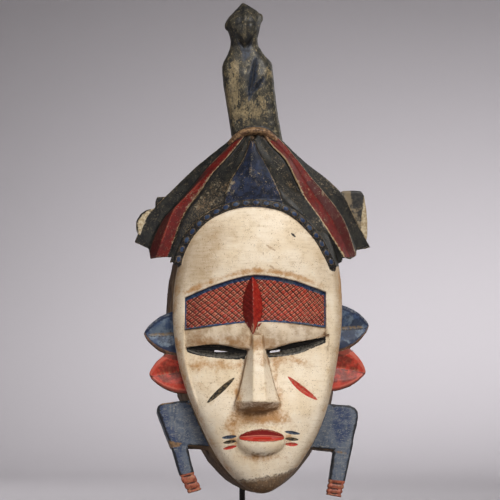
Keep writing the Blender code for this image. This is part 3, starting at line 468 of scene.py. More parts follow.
# ---------------------------------------------------------------- coiffure
# Each line runs from the apex to the lower edge of the coiffure: (x, y, z)
LINES = [
    # left side, from the outside in
    [(-20.0, 4, 377.0), (-36, 8, 364.6), (-50.5, 11, 352.9), (-72.8, 14, 331.4), (-81.5, 15, 322.8), (-93.2, 17, 309.1), (-100.0, 18, 296.8), (-104.0, 19, 287.2)],
    [(-13.6, 0, 379.4), (-26.6, 2, 366.6), (-42.9, 4, 350.2), (-56.0, 6, 333.6), (-68.9, 8, 318.8), (-80.6, 10, 305.9), (-90.6, 12, 287.0), (-92.0, 13, 281.0)],
    [(-12.7, -4, 379.2), (-25.8, -2, 366.4), (-42.1, -1, 349.9), (-55.2, 1, 333.2), (-68.1, 3, 318.4), (-79.8, 6, 305.4), (-89.8, 8, 283.0), (-90.6, 9, 272.3)],
    [(-11.4, -6, 380.4), (-23.9, -7, 366.4), (-38.6, -8, 349.4), (-49.7, -9, 336.9), (-62.7, -9, 323.0), (-71.7, -8, 312.5), (-86.6, -3, 272.6)],
    [(-9.0, -9, 380.0), (-19.8, -12, 365.6), (-30.4, -14, 353.3), (-39.4, -14, 343.4), (-48.3, -14, 329.5), (-62.9, -12, 309.1), (-76.6, -6, 273.0)],
    [(-8.2, -6, 379.0), (-18.9, -8.5, 365.0), (-29.8, -10.5, 352.7), (-38.8, -10.5, 342.8), (-47.7, -10.5, 329.0), (-62.1, -8.5, 308.6), (-75.0, -4, 267.6)],
    [(-7.2, -8, 377.4), (-14.2, -13, 363.0), (-22.5, -16, 350.0), (-31.5, -18, 337.0), (-38.5, -18, 326.0), (-50.0, -15, 302.0), (-58.0, -8, 280.0)],
    [(-6.6, -10, 374.0), (-9.8, -14, 362.8), (-13.4, -18, 354.8), (-19.2, -22, 345.0), (-25.4, -25, 334.5), (-29.8, -24.5, 318.0), (-31.0, -19, 303.0)],
    [(-6.1, -14, 372.6), (-9.2, -18, 362.8), (-12.8, -22, 354.8), (-18.4, -26, 345.0), (-24.6, -29, 334.5), (-29.0, -26.0, 318.0), (-30.0, -19, 303.0)],
    [(-5.6, -17, 371.0), (-7.0, -24, 361.0), (-8.6, -30, 352.0), (-10.8, -34.5, 342.0), (-12.6, -33.5, 333.0), (-14.4, -27.4, 318.0), (-15.0, -20, 303.0)],
    # the middle
    [(-5.0, -18, 370.4), (-5.8, -26, 360.0), (-7.2, -32.5, 351.0), (-8.0, -37.5, 343.4), (-6.6, -35.5, 333.0), (-5.2, -28.2, 318.0), (-5.0, -20, 303.0)],
    # right side, from the inside out
    [(-4.4, -17, 370.6), (-3.8, -24, 360.6), (-2.4, -30.5, 351.4), (-0.6, -34.8, 341.0), (3.0, -33.5, 333.0), (7.0, -27.4, 318.0), (8.0, -20, 303.0)],
    [(-3.9, -14, 372.2), (-0.6, -18, 362.2), (3.4, -22, 354.4), (7.6, -26, 345.6), (13.6, -29, 332.6), (19.6, -26.0, 318.0), (21.0, -19, 303.0)],
    [(-3.3, -10, 373.6), (0.1, -14, 362.2), (4.2, -18, 354.4), (8.4, -22, 345.6), (14.4, -25, 332.6), (20.4, -24.5, 318.0), (22.0, -19, 303.0)],
    [(0.2, -8, 378.0), (6.4, -13, 363.6), (14.4, -16, 350.2), (22.8, -18, 335.0), (30.4, -18, 321.0), (45.0, -14, 297.6), (56.0, -8, 277.0)],
    [(3.0, -6, 379.0), (11.4, -8.5, 367.8), (22.8, -10.5, 355.6), (31.8, -10.5, 337.8), (38.4, -10.5, 324.7), (54.4, -8.5, 302.0), (72.0, -4, 268.4)],
    [(4.0, -9, 379.8), (12.2, -12, 368.3), (23.6, -14, 356.1), (32.6, -14, 338.2), (39.1, -14, 325.1), (55.3, -12, 302.5), (74.6, -6, 273.4)],
    [(7.2, -5, 381.0), (17.2, -6, 370.2), (29.4, -6.5, 355.8), (38.8, -6.5, 341.0), (47.8, -6, 327.8), (64.6, -3.5, 304.6), (80.4, 0, 272.4)],
    [(10.4, -4, 381.8), (22.0, -4.5, 371.2), (35.1, -4.5, 355.7), (44.9, -4, 343.3), (56.4, -3, 330.3), (73.6, 0, 307.4), (85.8, 6, 275.6)],
    [(11.2, 0, 382.0), (22.8, 1, 371.4), (35.9, 2, 355.9), (45.7, 3, 343.5), (57.2, 5, 330.5), (74.4, 8, 307.6), (86.8, 12, 281.0)],
    [(22.2, 4, 374.4), (33.0, 8, 364.4), (44.4, 11, 355.0), (60.9, 14, 343.0), (74.3, 15, 330.4), (79.9, 16, 321.3), (86.3, 17, 308.1), (93.1, 18, 295.0), (99.8, 19, 283.6)],
]
BACK_Y = 38.0
# the middle of the beaded headband, from the left temple to the right
BEAD_LINE = [(-67.6, -5, 267.0), (-66.2, -7, 273.4), (-61.5, -11, 284.6), (-55.3, -14, 294.5), (-43.9, -19.5, 305.6), (-29.2, -24.5, 313.3), (-17.0, -27, 316.6), (-4.7, -28, 317.6), (7.6, -27.5, 316.6), (19.8, -25.5, 313.6), (31.6, -22, 306.8), (41.0, -18.5, 298.3), (50.4, -14, 287.4), (57.1, -10.5, 275.9), (61.6, -7, 267.4), (63.2, -6, 263.6)]


def above_beads(x, z):
    """How far a point lies outside the line of the headband, in mm."""
    bead = spline(BEAD_LINE, np.linspace(0, 1, 60))[:, [0, 2]]
    centre = bead.mean(0)
    q = np.c_[np.ravel(x), np.ravel(z)]
    step = np.linalg.norm(q[:, None] - bead[None], axis=2)
    near = step.argmin(1)
    out = np.linalg.norm(q - centre, axis=1) - np.linalg.norm(bead[near] - centre, axis=1)
    return np.sign(out) * step.min(1)


def proud(line, by=2.2):
    """A coiffure line, moved forward where the forehead would show through it."""
    x, z = line[:, 0], line[:, 2]
    away = np.abs(x - centre_x(z)) / np.maximum(face_half(z), 1.0)
    over = smooth(-1.0, 3.0, above_beads(x, z)) * smooth(288.0, 296.0, z) * (1 - smooth(1.0, 1.14, away))
    wanted = np.minimum(line[:, 1], face_y(x, z) - by)
    out = line.copy()
    out[:, 1] += (wanted - line[:, 1]) * over
    return out


def coiffure(detail=DETAIL):
    m = 10 * detail + 1
    t = np.linspace(0, 1, m)
    lines = [proud(spline(p, t)) for p in LINES]
    rings = []
    for k in range(m):
        front = [ln[k] for ln in lines]
        left, right = front[0], front[-1]
        back = []
        for f in (1.0, 0.6, 0.2, -0.2, -0.6, -1.0):
            mid = (left + right) / 2
            half = (right[0] - left[0]) / 2
            z = mid[2] + (front[10][2] - mid[2]) * 0.35 * (1 - f * f)
            back.append((mid[0] + f * (half - 3.0), BACK_Y - 5.0 * f * f - 8.0 * (1 - t[k]), z + f * (right[2] - left[2]) / 2))
        rings.append(front + back)
    return loft("add_coiffure", rings, ((-4.0, 28.0, 372.0), (-3.0, 27.0, 293.0)))




def headband(detail=DETAIL):
    """The narrow raised band that edges the coiffure on the forehead."""
    n = 18 * detail + 1
    p = spline(BEAD_LINE, np.linspace(0, 1, n))
    y = face_y(p[:, 0], p[:, 2])
    rings = []
    for i in range(n):
        a, b = p[max(i - 1, 0)], p[min(i + 1, n - 1)]
        d = (b - a)[[0, 2]]
        d /= np.linalg.norm(d)
        nrm = np.array([-d[1], d[0]])
        q = p[i][[0, 2]]
        inner, outer = q - nrm * 2.9, q + nrm * 3.6
        yi, yo = float(face_y(*inner)), float(face_y(*outer))
        front = min(float(y[i]) - 3.4, yi - 1.4)
        front_o = front + 0.6
        rings.append([(inner[0], max(yi, y[i]) + 9, inner[1]), (inner[0], front + 0.9, inner[1]), (inner[0] + nrm[0], front, inner[1] + nrm[1]), (outer[0] - nrm[0], front_o, outer[1] - nrm[1]), (outer[0], front_o + 1.2, outer[1]), (outer[0], max(yo, y[i]) + 9, outer[1])])
    return loft("add_headband", rings)


# ---------------------------------------------------------------- horns, ears, side blocks, crest figure
def lobe(name, root_top, root_low, tip, y0, thick, side, detail=DETAIL, rise=0.42):
    """An ear-like lobe: a leaf whose front is scooped out in a V, leaving a raised rim."""
    top, low, tip = (np.asarray(p, float) for p in (root_top, root_low, tip))
    n = 8 * detail
    rings = []
    for s in np.linspace(0, 1, n + 1):
        # the outline swells a little from the root, then rounds to the tip
        k = (1 - s**1.85) ** 0.74 * 0.97 + 0.03
        mid_root = top * (1 - rise) + low * rise
        c = mid_root + (tip - mid_root) * s
        a = c + (top - mid_root) * k
        b = c + (low - mid_root) * k
        dish = 5.4 * min(k * 1.25, 1.0) * (1 - 0.25 * s)
        rim = 0.20
        pa, pb = a + (b - a) * rim, b + (a - b) * 0.22
        valley = a + (b - a) * 0.50
        yf = y0 + 3.0 * s**2
        yb = y0 + thick * (1 - 0.45 * s)
        rings.append([
            (a[0], yf + 1.6, a[1]), (a[0] * 0.75 + pa[0] * 0.25, yf + 0.2, a[1] * 0.75 + pa[1] * 0.25), (pa[0], yf + 0.5, pa[1]),
            (valley[0], yf + dish, valley[1]),
            (pb[0], yf + 0.8, pb[1]), (b[0] * 0.75 + pb[0] * 0.25, yf + 0.3, b[1] * 0.75 + pb[1] * 0.25), (b[0], yf + 1.8, b[1]),
            (b[0], yb - 2, b[1] - 0.4), (c[0], yb + 1, c[1]), (a[0], yb - 2, a[1]),
        ])
    return loft(name, rings)


def board(name, corners, y0, y1, detail=DETAIL, under=0.0):
    """A flat carved board with this outline in the XZ plane and softened edges."""
    p = np.asarray(corners, float)
    c = p.mean(0)
    rings = []
    for y, shrink in ((y0, 0.9), (y0 + 0.9, 0.0), (y1 - 0.9, 0.0), (y1, 0.9)):
        q = p + (c - p) / np.linalg.norm(c - p, axis=1)[:, None] * shrink
        rings.append(np.c_[q[:, 0], np.full(len(q), y), q[:, 1] - under * (y - y0) / (y1 - y0)])
    return loft(name, rings)


def horn_right(detail=DETAIL):
    """A squared horn that shows behind the coiffure's right shoulder."""
    return board("add_horn_right", [(60.0, 316.0), (66.0, 328.0), (76.0, 333.0), (86.0, 333.4), (91.6, 332.8), (94.2, 329.0), (95.8, 319.0), (96.8, 307.0), (97.0, 295.0), (95.6, 288.6), (88.0, 286.6), (72.0, 298.0)], 19, 41, detail)


def horn_left(detail=DETAIL):
    """The stub of the horn on the left."""
    return board("add_horn_left", [(-64.0, 312.0), (-70.0, 325.6), (-75.0, 327.0), (-84.2, 326.8), (-85.2, 324.8), (-85.6, 314.6), (-84.0, 304.0), (-72.0, 300.0)], 20, 40, detail)


def knob_left(detail=DETAIL):
    """The rounded knob below that stub."""
    return board("add_knob_left", [(-78.0, 308.0), (-82.0, 315.2), (-88.0, 316.4), (-94.0, 315.2), (-98.8, 311.6), (-101.8, 306.4), (-102.2, 300.4), (-100.6, 294.6), (-98.0, 291.0), (-86.0, 292.0)], 17, 36, detail)


def leg(name, path, half, y0, y1, detail=DETAIL):
    """The leg under a side block, tapering down to a ringed foot."""
    n = 6 * detail + 1
    p = spline(path, np.linspace(0, 1, n))
    rings = []
    for i, s in enumerate(np.linspace(0, 1, n)):
        w = half[0] + (half[1] - half[0]) * s
        a, b = y0 + 0.6 * s, y1 - 2.0 * s
        x, z = p[i]
        tilt = (p[-1] - p[0]) / np.linalg.norm(p[-1] - p[0])
        ax = np.array([-tilt[1], tilt[0]])
        ring = []
        for dx, y in ((-1, a + 1), (-0.86, a), (0.86, a), (1, a + 1), (1, b - 1), (0.86, b), (-0.86, b), (-1, b - 1)):
            ring.append((x + ax[0] * w * dx, y, z + ax[1] * w * dx))
        rings.append(ring)
    return loft(name, rings)


def figure(detail=DETAIL):
    """The crest: an armless standing figure, leaning to the viewer's left."""
    #        z      left    right   front  back  squareness
    spec = [
        (366.0, -20.0, 22.0, -2.0, 24.0, 0.50),
        (376.0, -20.6, 22.2, -3.0, 24.0, 0.50),
        (396.0, -23.9, 18.4, -5.0, 22.5, 0.50),
        (417.0, -27.4, 15.6, -6.5, 21.0, 0.52),
        (430.5, -29.0, 14.3, -7.0, 20.0, 0.52),
        (438.0, -29.6, 13.6, -6.4, 19.0, 0.56),
        (441.5, -28.4, 12.4, -6.0, 18.5, 0.62),
        (449.0, -24.4, 5.6, -4.6, 16.6, 0.72),
        (455.0, -22.6, 1.6, -4.4, 15.6, 0.80),
        (459.0, -22.2, 0.8, -8.0, 15.4, 0.84),
        (463.5, -23.4, 1.0, -10.6, 15.8, 0.86),
        (470.0, -25.4, 2.6, -11.4, 16.2, 0.84),
        (476.0, -26.6, 4.0, -10.6, 16.4, 0.86),
        (480.0, -24.2, 4.2, -9.4, 16.2, 0.92),
        (485.0, -19.4, 1.2, -6.6, 14.6, 1.0),
        (489.5, -15.4, -5.6, -2.4, 11.0, 1.0),
        (492.4, -12.8, -11.4, 1.6, 5.4, 1.0),
    ]
    cols = np.array(spec)
    zs = cols[:, 0]
    m = len(zs) if detail == 1 else 24 * detail
    zz = zs if detail == 1 else np.linspace(zs[0], zs[-1], m)
    n = 20 * detail
    rings = []
    for z in zz:
        left, right, front, back, sq = (float(np.interp(z, zs, cols[:, j])) for j in range(1, 6))
        a = np.linspace(0, 2 * np.pi, n, endpoint=False) + np.pi / n
        cx, cy = (left + right) / 2, (front + back) / 2
        hx, hy = (right - left) / 2, (back - front) / 2
        x = cx + hx * np.sign(np.cos(a)) * np.abs(np.cos(a)) ** sq
        y = cy + hy * np.sign(np.sin(a)) * np.abs(np.sin(a)) ** sq
        rings.append(np.c_[x, y, np.full(n, z)])
    return loft("add_figure", rings)


def collar(detail=DETAIL):
    """The low arched rim at the crest's foot, over the tops of the strips."""
    path = [(-24.0, 2.5, 370.0), (-19.0, -2.0, 375.0), (-12.1, -6.2, 379.2), (-3.6, -7.6, 381.0), (6.7, -6.4, 379.8), (13.0, -3.2, 376.0), (18.5, 1.0, 371.4)]
    n = 8 * detail + 1
    p = spline(path, np.linspace(0, 1, n))
    m = 6 * detail
    turn = np.linspace(0, 2 * np.pi, m, endpoint=False) + 0.2
    rings = []
    for i in range(n):
        d = (p[min(i + 1, n - 1)] - p[max(i - 1, 0)])[[0, 2]]
        d /= np.linalg.norm(d)
        k = 0.55 + 0.45 * math.sin(math.pi * i / (n - 1)) ** 0.5
        rings.append([(p[i][0] - d[1] * 3.4 * k * math.cos(a), p[i][1] + 6.5 * k * math.sin(a), p[i][2] + d[0] * 3.4 * k * math.cos(a)) for a in turn])
    return loft("add_collar", rings)


def figure_ear(name, x, z, side):
    return ellipsoid(name, (x, 2.0, z), (2.6, 4.0, 4.2), 10, 6)

# ---------------------------------------------------------------- meshes as numbers
def points_of(mesh):
    co = np.empty(len(mesh.vertices) * 3, np.float32)
    mesh.vertices.foreach_get("co", co)
    return co.reshape(-1, 3).astype(float) / MM - np.array(PLACE)


def move_to(mesh, p):
    mesh.vertices.foreach_set("co", ((p + PLACE) * MM).astype(np.float32).ravel())
    mesh.update()


def normals_of(mesh):
    n = np.empty(len(mesh.vertices) * 3, np.float32)
    mesh.vertex_normals.foreach_get("vector", n)
    return n.reshape(-1, 3).astype(float)


def edges_of(mesh):
    e = np.empty(len(mesh.edges) * 2, np.int32)
    mesh.edges.foreach_get("vertices", e)
    return e.reshape(-1, 2)


def relaxed(p, edges, rounds, share):
    """Points moved towards the mean of their neighbours."""
    n = len(p)
    a, b = edges[:, 0], edges[:, 1]
    count = np.maximum(np.bincount(a, minlength=n) + np.bincount(b, minlength=n), 1)
    for _ in range(rounds):
        mean = np.empty_like(p)
        for k in range(p.shape[1]):
            mean[:, k] = (np.bincount(a, p[b, k], n) + np.bincount(b, p[a, k], n)) / count
        p = p + (mean - p) * share
    return p


def applied(obj):
    """The object with its modifiers made real."""
    graph = bpy.context.evaluated_depsgraph_get()
    mesh = bpy.data.meshes.new_from_object(obj.evaluated_get(graph), depsgraph=graph)
    old = obj.data
    obj.modifiers.clear()
    obj.data = mesh
    bpy.data.meshes.remove(old)
    return obj


def volume_of(obj):
    bm = bmesh.new()
    bm.from_mesh(obj.data)
    v = bm.calc_volume()
    bm.free()
    return v / MM**3


def cut_by(target, tools):
    """Takes each tool away from target. The quick solver goes first, and the exact one where it has no effect."""
    for tool in tools:
        before = len(target.data.vertices), volume_of(target)
        for solver in ("MANIFOLD", "EXACT"):
            mod = boolean(target, tool, "DIFFERENCE")
            mod.solver = solver
            kept = target.data.copy()
            applied(target)
            after = len(target.data.vertices), volume_of(target)
            if after != before and 0.3 * before[1] < after[1] < before[1]:
                break
            target.data = kept
        print("cut", tool.name, solver, round(after[1] - before[1]))
    return target


def drop(objs):
    for o in objs:
        bpy.data.objects.remove(o)


def joined(name, objs):
    verts, faces, o = [], [], 0
    for obj in objs:
        me = obj.data
        verts.append(points_of(me))
        faces += [tuple(v + o for v in f.vertices) for f in me.polygons]
        o += len(me.vertices)
    mesh = bpy.data.meshes.new(name)
    mesh.from_pydata([tuple(v) for v in (np.vstack(verts) + PLACE) * MM], [], faces)
    out = bpy.data.objects.new(name, mesh)
    bpy.context.scene.collection.objects.link(out)
    return out


# ---------------------------------------------------------------- patterns with nothing left to chance
def hashed(i, j, k, seed):
    h = (i * 374761393 + j * 668265263 + k * 1103515245 + seed * 974634777) & 0xFFFFFFFF
    h = ((h ^ (h >> 13)) * 1274126177) & 0xFFFFFFFF
    h = ((h ^ (h >> 15)) * 2246822519) & 0xFFFFFFFF
    return ((h ^ (h >> 16)) & 0xFFFFFF) / float(0xFFFFFF)


def noise3(p, size, seed=0):
    """Smooth noise from -1 to 1 with features of this size, or sizes, in mm."""
    q = p / np.asarray(size, float)
    f = np.floor(q).astype(np.int64)
    t = q - f
    t = t * t * (3 - 2 * t)
    out = np.zeros(len(p))
    for a in (0, 1):
        for b in (0, 1):
            for c in (0, 1):
                w = (t[:, 0] if a else 1 - t[:, 0]) * (t[:, 1] if b else 1 - t[:, 1]) * (t[:, 2] if c else 1 - t[:, 2])
                out += w * hashed(f[:, 0] + a, f[:, 1] + b, f[:, 2] + c, seed)
    return out * 2 - 1


def rough3(p, size, octaves=3, seed=0):
    out, amp, total = np.zeros(len(p)), 1.0, 0.0
    size = np.asarray(size, float)
    for k in range(octaves):
        out += amp * noise3(p, size / 2**k, seed + 17 * k)
        total += amp
        amp *= 0.55
    return out / total


def gouges(u, v, du, dv, seed=0):
    """Shallow scallops side by side, as a gouge leaves them: 0 in the middle of each, rising to the ridges between."""
    iu, iv = np.floor(u / du).astype(np.int64), np.floor(v / dv).astype(np.int64)
    zero = np.zeros_like(iu)
    best = np.full(len(u), 9.0)
    for a in (-1, 0, 1):
        for b in (-1, 0, 1):
            cu = (iu + a + 0.5 + 0.7 * (hashed(iu + a, iv + b, zero, seed) - 0.5)) * du
            cv = (iv + b + 0.5 + 0.7 * (hashed(iu + a, iv + b, zero + 7, seed) - 0.5)) * dv
            best = np.minimum(best, ((u - cu) / du) ** 2 + ((v - cv) / dv) ** 2)
    return np.minimum(best, 0.8)


def to_segment(x, z, p0, p1):
    """Share along the segment and signed distance to its left."""
    (x0, z0), (x1, z1) = p0, p1
    dx, dz = x1 - x0, z1 - z0
    length = math.hypot(dx, dz)
    s = ((x - x0) * dx + (z - z0) * dz) / length**2
    t = ((x - x0) * -dz + (z - z0) * dx) / length
    return s, t, length


def leaf(x, z, p0, p1, half, power=0.6, bow=0.0):
    """How far inside a leaf-shaped mark, in mm; below zero is outside."""
    s, t, length = to_segment(x, z, p0, p1)
    c = np.clip(s, 0, 1)
    k = np.sin(np.pi * c) ** power
    ends = np.maximum(np.maximum(-s, s - 1), 0) * length
    return half * k - np.hypot(np.abs(t - bow * np.sin(np.pi * c)), ends)


def to_line(x, z, pts):
    """Unsigned distance to a polyline in the XZ plane, and the length along it in mm."""
    pts = np.asarray(pts, float)
    best, where, run = np.full(len(x), 1e9), np.zeros(len(x)), 0.0
    for a, b in zip(pts[:-1], pts[1:]):
        s, t, length = to_segment(x, z, a, b)
        if length < 1e-9:
            continue
        c = np.clip(s, 0, 1)
        d = np.hypot(t, (s - c) * length)
        near = d < best
        best = np.where(near, d, best)
        where = np.where(near, run + c * length, where)
        run += length
    return best, where


def in_polygon(x, z, pts):
    """Signed distance to a closed outline in the XZ plane: positive inside."""
    pts = np.asarray(pts, float)
    inside = np.zeros(len(x), bool)
    for (x0, z0), (x1, z1) in zip(pts, np.roll(pts, -1, 0)):
        if z0 == z1:
            continue
        cross = (z0 > z) != (z1 > z)
        inside ^= cross & (x < (x1 - x0) * (z - z0) / (z1 - z0) + x0)
    d, _ = to_line(x, z, np.vstack([pts, pts[:1]]))
    return np.where(inside, d, -d)


def blob(x, z, cx, cz, rx, rz):
    return np.exp(-(((x - cx) / rx) ** 2) - ((z - cz) / rz) ** 2)


# ---------------------------------------------------------------- cuts and marks on the face
WHISKERS = {  # colour: (inner end, outer end, half width)
    "blue": [((-18.6, 122.4), (-31.0, 120.9), 1.25), ((21.2, 126.2), (34.8, 124.3), 1.15)],
    "black": [((-18.6, 118.4), (-29.8, 116.7), 1.2), ((21.6, 120.4), (33.6, 119.4), 1.3)],
    "red": [((-18.6, 114.2), (-29.6, 111.6), 1.2), ((22.0, 115.8), (33.4, 115.2), 1.35)],
}
SCAR_LEFT = ((-43.6, 149.8), (-20.0, 171.6), 1.9, 0.0)
SCAR_RIGHT = ((24.6, 172.4), (50.0, 152.6), 2.2, -1.0)
HATCH_A = 5.15  # mm of height between the strong cuts
HATCH_B = (3.4, 4.6)  # and between the fine ones, at the right end and elsewhere


def hatch(x, z):
    """Line numbers of the two families of cuts that cross the brow band, which are whole on a cut."""
    run = x + 62.0
    a = (z + 0.754 * run + 0.396 / 119 * run**2 / 2) / HATCH_A
    a = a + 0.10 * np.sin(0.13 * x + 0.9) + 0.06 * np.sin(0.41 * z + 0.2 * x)
    c = z - 0.80 * x
    cs = np.linspace(120, 330, 421)
    gap = HATCH_B[0] + (HATCH_B[1] - HATCH_B[0]) * smooth(186, 216, cs)
    b = np.interp(c, cs, np.cumsum((cs[1] - cs[0]) / gap))
    b = b + 0.08 * np.sin(0.17 * x + 2.0) + 0.05 * np.sin(0.6 * z - 0.1 * x)
    return a, b


def in_band(x, z):
    return np.minimum.reduce([x - BAND_X[0], BAND_X[1] - x, band_top(x) - z, z - band_low(x)])


def bead_place(x, z):
    """Length along the headband and distance to its outer side, in mm."""
    fine = spline(BEAD_LINE, np.linspace(0, 1, 90))[:, [0, 2]]
    d, s = to_line(x, z, fine)
    total = np.linalg.norm(np.diff(fine, axis=0), axis=1).sum()
    at = np.interp(s, np.linspace(0, total, 400), np.arange(400))
    a = np.clip(at.astype(int), 0, 398)
    flat = spline(BEAD_LINE, np.linspace(0, 1, 400))[:, [0, 2]]
    tangent = np.gradient(flat, axis=0)
    tangent /= np.linalg.norm(tangent, axis=1)[:, None]
    side = (x - flat[a, 0]) * -tangent[a, 1] + (z - flat[a, 1]) * tangent[a, 0]
    return s, np.sign(side) * d


BEAD_GAP = 8.55
EARS = {  # the root's two ends, the tip, and where along the root the tip lies
    "ear_blue_left": ((-66, 229), (-64, 190), (-95.6, 209.0), 0.42),
    "ear_red_left": ((-62, 199), (-54, 158.5), (-91.0, 174.4), 0.42),
    "ear_blue_right": ((66, 234.5), (66, 193.0), (96.6, 216.0), 0.46),
    "ear_red_right": ((64, 203.0), (58, 160.0), (93.8, 176.4), 0.56),
}
CREST_CUTS = [((-1.3, 445.0), (-7.2, 407.0), 2.9), ((5.9, 428.0), (-5.2, 413.6), 2.0)]
RINGS_LEFT = [(-57.6, 88.6), (-55.3, 82.6), (-53.2, 77.6)]
RINGS_RIGHT = [(69.0, 81.6), (68.0, 77.2), (67.3, 73.2)]


def carve(p, n):
    """Moves the carved block's points: positive is outwards along the normal."""
    x, y, z = p.T
    out = np.zeros(len(p))
    back = np.zeros(len(p))  # straight towards the back
    face = in_polygon(x, z, outline(120, FACE_HALF_W, CHIN_Z, CROWN_Z, CHIN_EXP, CROWN_EXP))
    front = smooth(-0.15, -0.45, n[:, 1])
    # the brow band: two families of cuts between swelling cushions
    band = in_band(x, z)
    on = (band > -0.3) & (n[:, 1] < -0.2) & (y < 0)
    a, b = hatch(x, z)
    da = np.abs(a - np.round(a)) * HATCH_A * 0.74
    db = np.abs(b - np.round(b)) * 4.4 * 0.78
    cuts = 0.62 * np.maximum(1 - (da / 0.85) ** 2, 0) + 0.50 * np.maximum(1 - (db / 0.70) ** 2, 0)
    back += np.where(on, np.minimum(cuts, 0.85) * smooth(0.4, 1.6, band), 0)
    # the lids swell out under the band, and lie back beside the side walls
    low, lid = band_low(x), lid_line(x)
    v = (z - lid) / np.maximum(low - lid, 0.1)
    inside = (v > 0.0) & (v < 1.03) & (x > BAND_X[0]) & (x < BAND_X[1]) & (n[:, 1] < -0.2) & (y < 0)
    swell = 1.5 * np.sin(np.pi * np.clip(v, 0, 1)) ** 0.8 - 0.6
    sink = 2.3 * smooth(18, 52, np.abs(x + 2.4))
    nose_side = smooth(5.0, 9.0, np.abs(x + 2.0))
    back += np.where(inside, (sink - swell) * nose_side, 0)
    # whisker cuts beside the mouth
    for marks in WHISKERS.values():
        for p0, p1, half in marks:
            back += np.where(n[:, 1] < -0.2, 0.95 * smooth(-0.1, half * 0.9, leaf(x, z, p0, p1, half + 0.3)), 0)
    # beads in the headband
    s, t = bead_place(x, z)
    oval = np.hypot((s / BEAD_GAP - np.floor(s / BEAD_GAP) - 0.5) * BEAD_GAP / 2.5, (t - 0.3) / 1.9)
    onband = (np.abs(t - 0.3) < 3.0) & (z > 255) & (n[:, 1] < -0.2)
    back += np.where(onband, 0.55 * smooth(1.0, 1.35, oval) * smooth(2.9, 2.3, np.abs(t - 0.3)) - 0.35 * smooth(1.0, 0.3, oval), 0)
    # the crest figure
    crest = (z > 383) & (n[:, 1] < 0.1) & (y < 8)
    for p0, p1, half in CREST_CUTS:
        back += np.where(crest, 2.0 * smooth(-0.2, half, leaf(x, z, p0, p1, half, 0.45)), 0)
    axis = -0.2 - 0.115 * (z - 376)
    u = x - axis
    chest = smooth(436, 428, z) * smooth(392, 405, z)
    back += np.where(crest, -0.9 * chest * blob(u, z, -7, 416, 7, 20) - 0.9 * chest * blob(u, z, 8, 420, 5, 14), 0)
    head = crest & (z > 452)
    c = z - 470
    jaw = in_polygon(x, z, [(-23.5, 470.5), (-11.5, 473.5), (1.5, 474.5), (-3.0, 463.5), (-10.6, 453.0), (-18.5, 461.5)])
    back += np.where(head, -1.5 * smooth(-0.5, 1.6, jaw) - 1.5 * np.maximum(1 - np.abs(x + 10.9 - 0.02 * c) / 3.4, 0) * smooth(451, 458, z), 0)
    for p0, p1 in (((-20.4, 469.0), (-11.2, 452.0)), ((-1.6, 467.0), (-10.0, 452.0))):
        back += np.where(head, 1.7 * smooth(-0.3, 1.8, leaf(x, z, p0, p1, 2.2, 0.5)), 0)
    # rings round the feet of the side blocks
    for marks, sign, tilt in ((RINGS_LEFT, -1, 0.24), (RINGS_RIGHT, 1, -0.10)):
        for cx, cz in marks:
            d = np.abs((z - cz) - tilt * (x - cx))
            near = (np.abs(x - cx) < 12) & (y > 6) & (z < 95) & (sign * x > 40)
            out -= np.where(near, 0.85 * np.maximum(1 - (d / 1.15) ** 2, 0), 0)
    # holes for cords along the shell's side
    for cz in (110.0, 161.0, 229.0, 248.7):
        for side in (-1, 1):
            if side > 0 and cz > 240:
                continue
            d = np.hypot((y - 27.0) / 1.0, (z - cz) / 1.5)
            near = (side * x > 20) & (np.abs(n[:, 0]) > 0.5)
            out -= np.where(near, 3.0 * smooth(2.3, 1.3, d), 0)
    # tool marks, by region
    angle = np.arctan2(x, z - 205) * 95
    shell = (y > 7) & (z < 268) & (n[:, 1] > -0.5)
    out += np.where(shell, 0.55 * (gouges(angle, y * 1.0, 8, 22, 3) - 0.25), 0)
    plain = (face > 0) & ~on & (z < 262) & (n[:, 1] < -0.2)
    out += np.where(plain, 0.16 * (gouges(x + 0.2 * z, z, 9, 15, 5) - 0.25) * smooth(0, 4, face), 0)
    fore = (face > 0) & (z >= 245) & (n[:, 1] < -0.2)
    out += np.where(fore, 0.14 * (gouges(z + 0.2 * x, x, 7, 16, 6) - 0.25), 0)
    hair = (z > 262) & (z < 384) & (face < 6) | (z > 316) & (z < 384)
    out += np.where(hair, 0.30 * (gouges((x + z) * 0.7, (z - x) * 0.7, 9, 7, 8) - 0.25), 0)
    blocks = (np.abs(x) > 46) & (z < 154) & (y > 9)
    out += np.where(blocks, 0.18 * (gouges(x, z, 5, 14, 9) - 0.25), 0)
    out += np.where(z > 384, 0.5 * (gouges(x + 0.1 * z, z, 6, 9, 10) - 0.25), 0)
    rear = y > 30
    out += np.where(rear, 0.5 * (gouges(x, z, 8, 17, 11) - 0.25), 0)
    # uneven cutting everywhere, and a few knocks
    out += 0.10 * rough3(p, 5.0, 2, 21) + 0.05 * noise3(p, 1.6, 31)
    knocks = smooth(0.60, 0.78, noise3(p, 5.5, 41)) * smooth(0.0, 0.5, noise3(p, 23.0, 43))
    out -= 0.35 * knocks * np.where((face > 3) & (z < 316), 0.35, 1.0)
    return p + n * out[:, None] + np.array([0.0, 1.0, 0.0]) * back[:, None]


# ---------------------------------------------------------------- the carved block
def eyes():
    """The almond troughs, and the slits that pierce them."""
    left = eye_cut("cut_eye_left", -59.4, -9.6, lambda x: lid_line(x) + 1.3, lambda x: along([-60, -50, -38, -26, -9], [193.2, 190.6, 188.8, 187.4, 187.2], x), lambda x: along([-60, -38, -9], [195.4, 193.2, 191.6], x), (-36.8, -25.5, 0.40))
    right = eye_cut("cut_eye_right", 6.4, 56.6, lambda x: lid_line(x) + 1.3, lambda x: along([6, 22, 36, 48, 57], [188.6, 190.0, 192.8, 197.6, 201.4], x), lambda x: along([6, 28, 57], [191.6, 195.4, 203.6], x), (9.8, 18.8, 0.40))
    return (left[0], right[0]), (left[1], right[1])


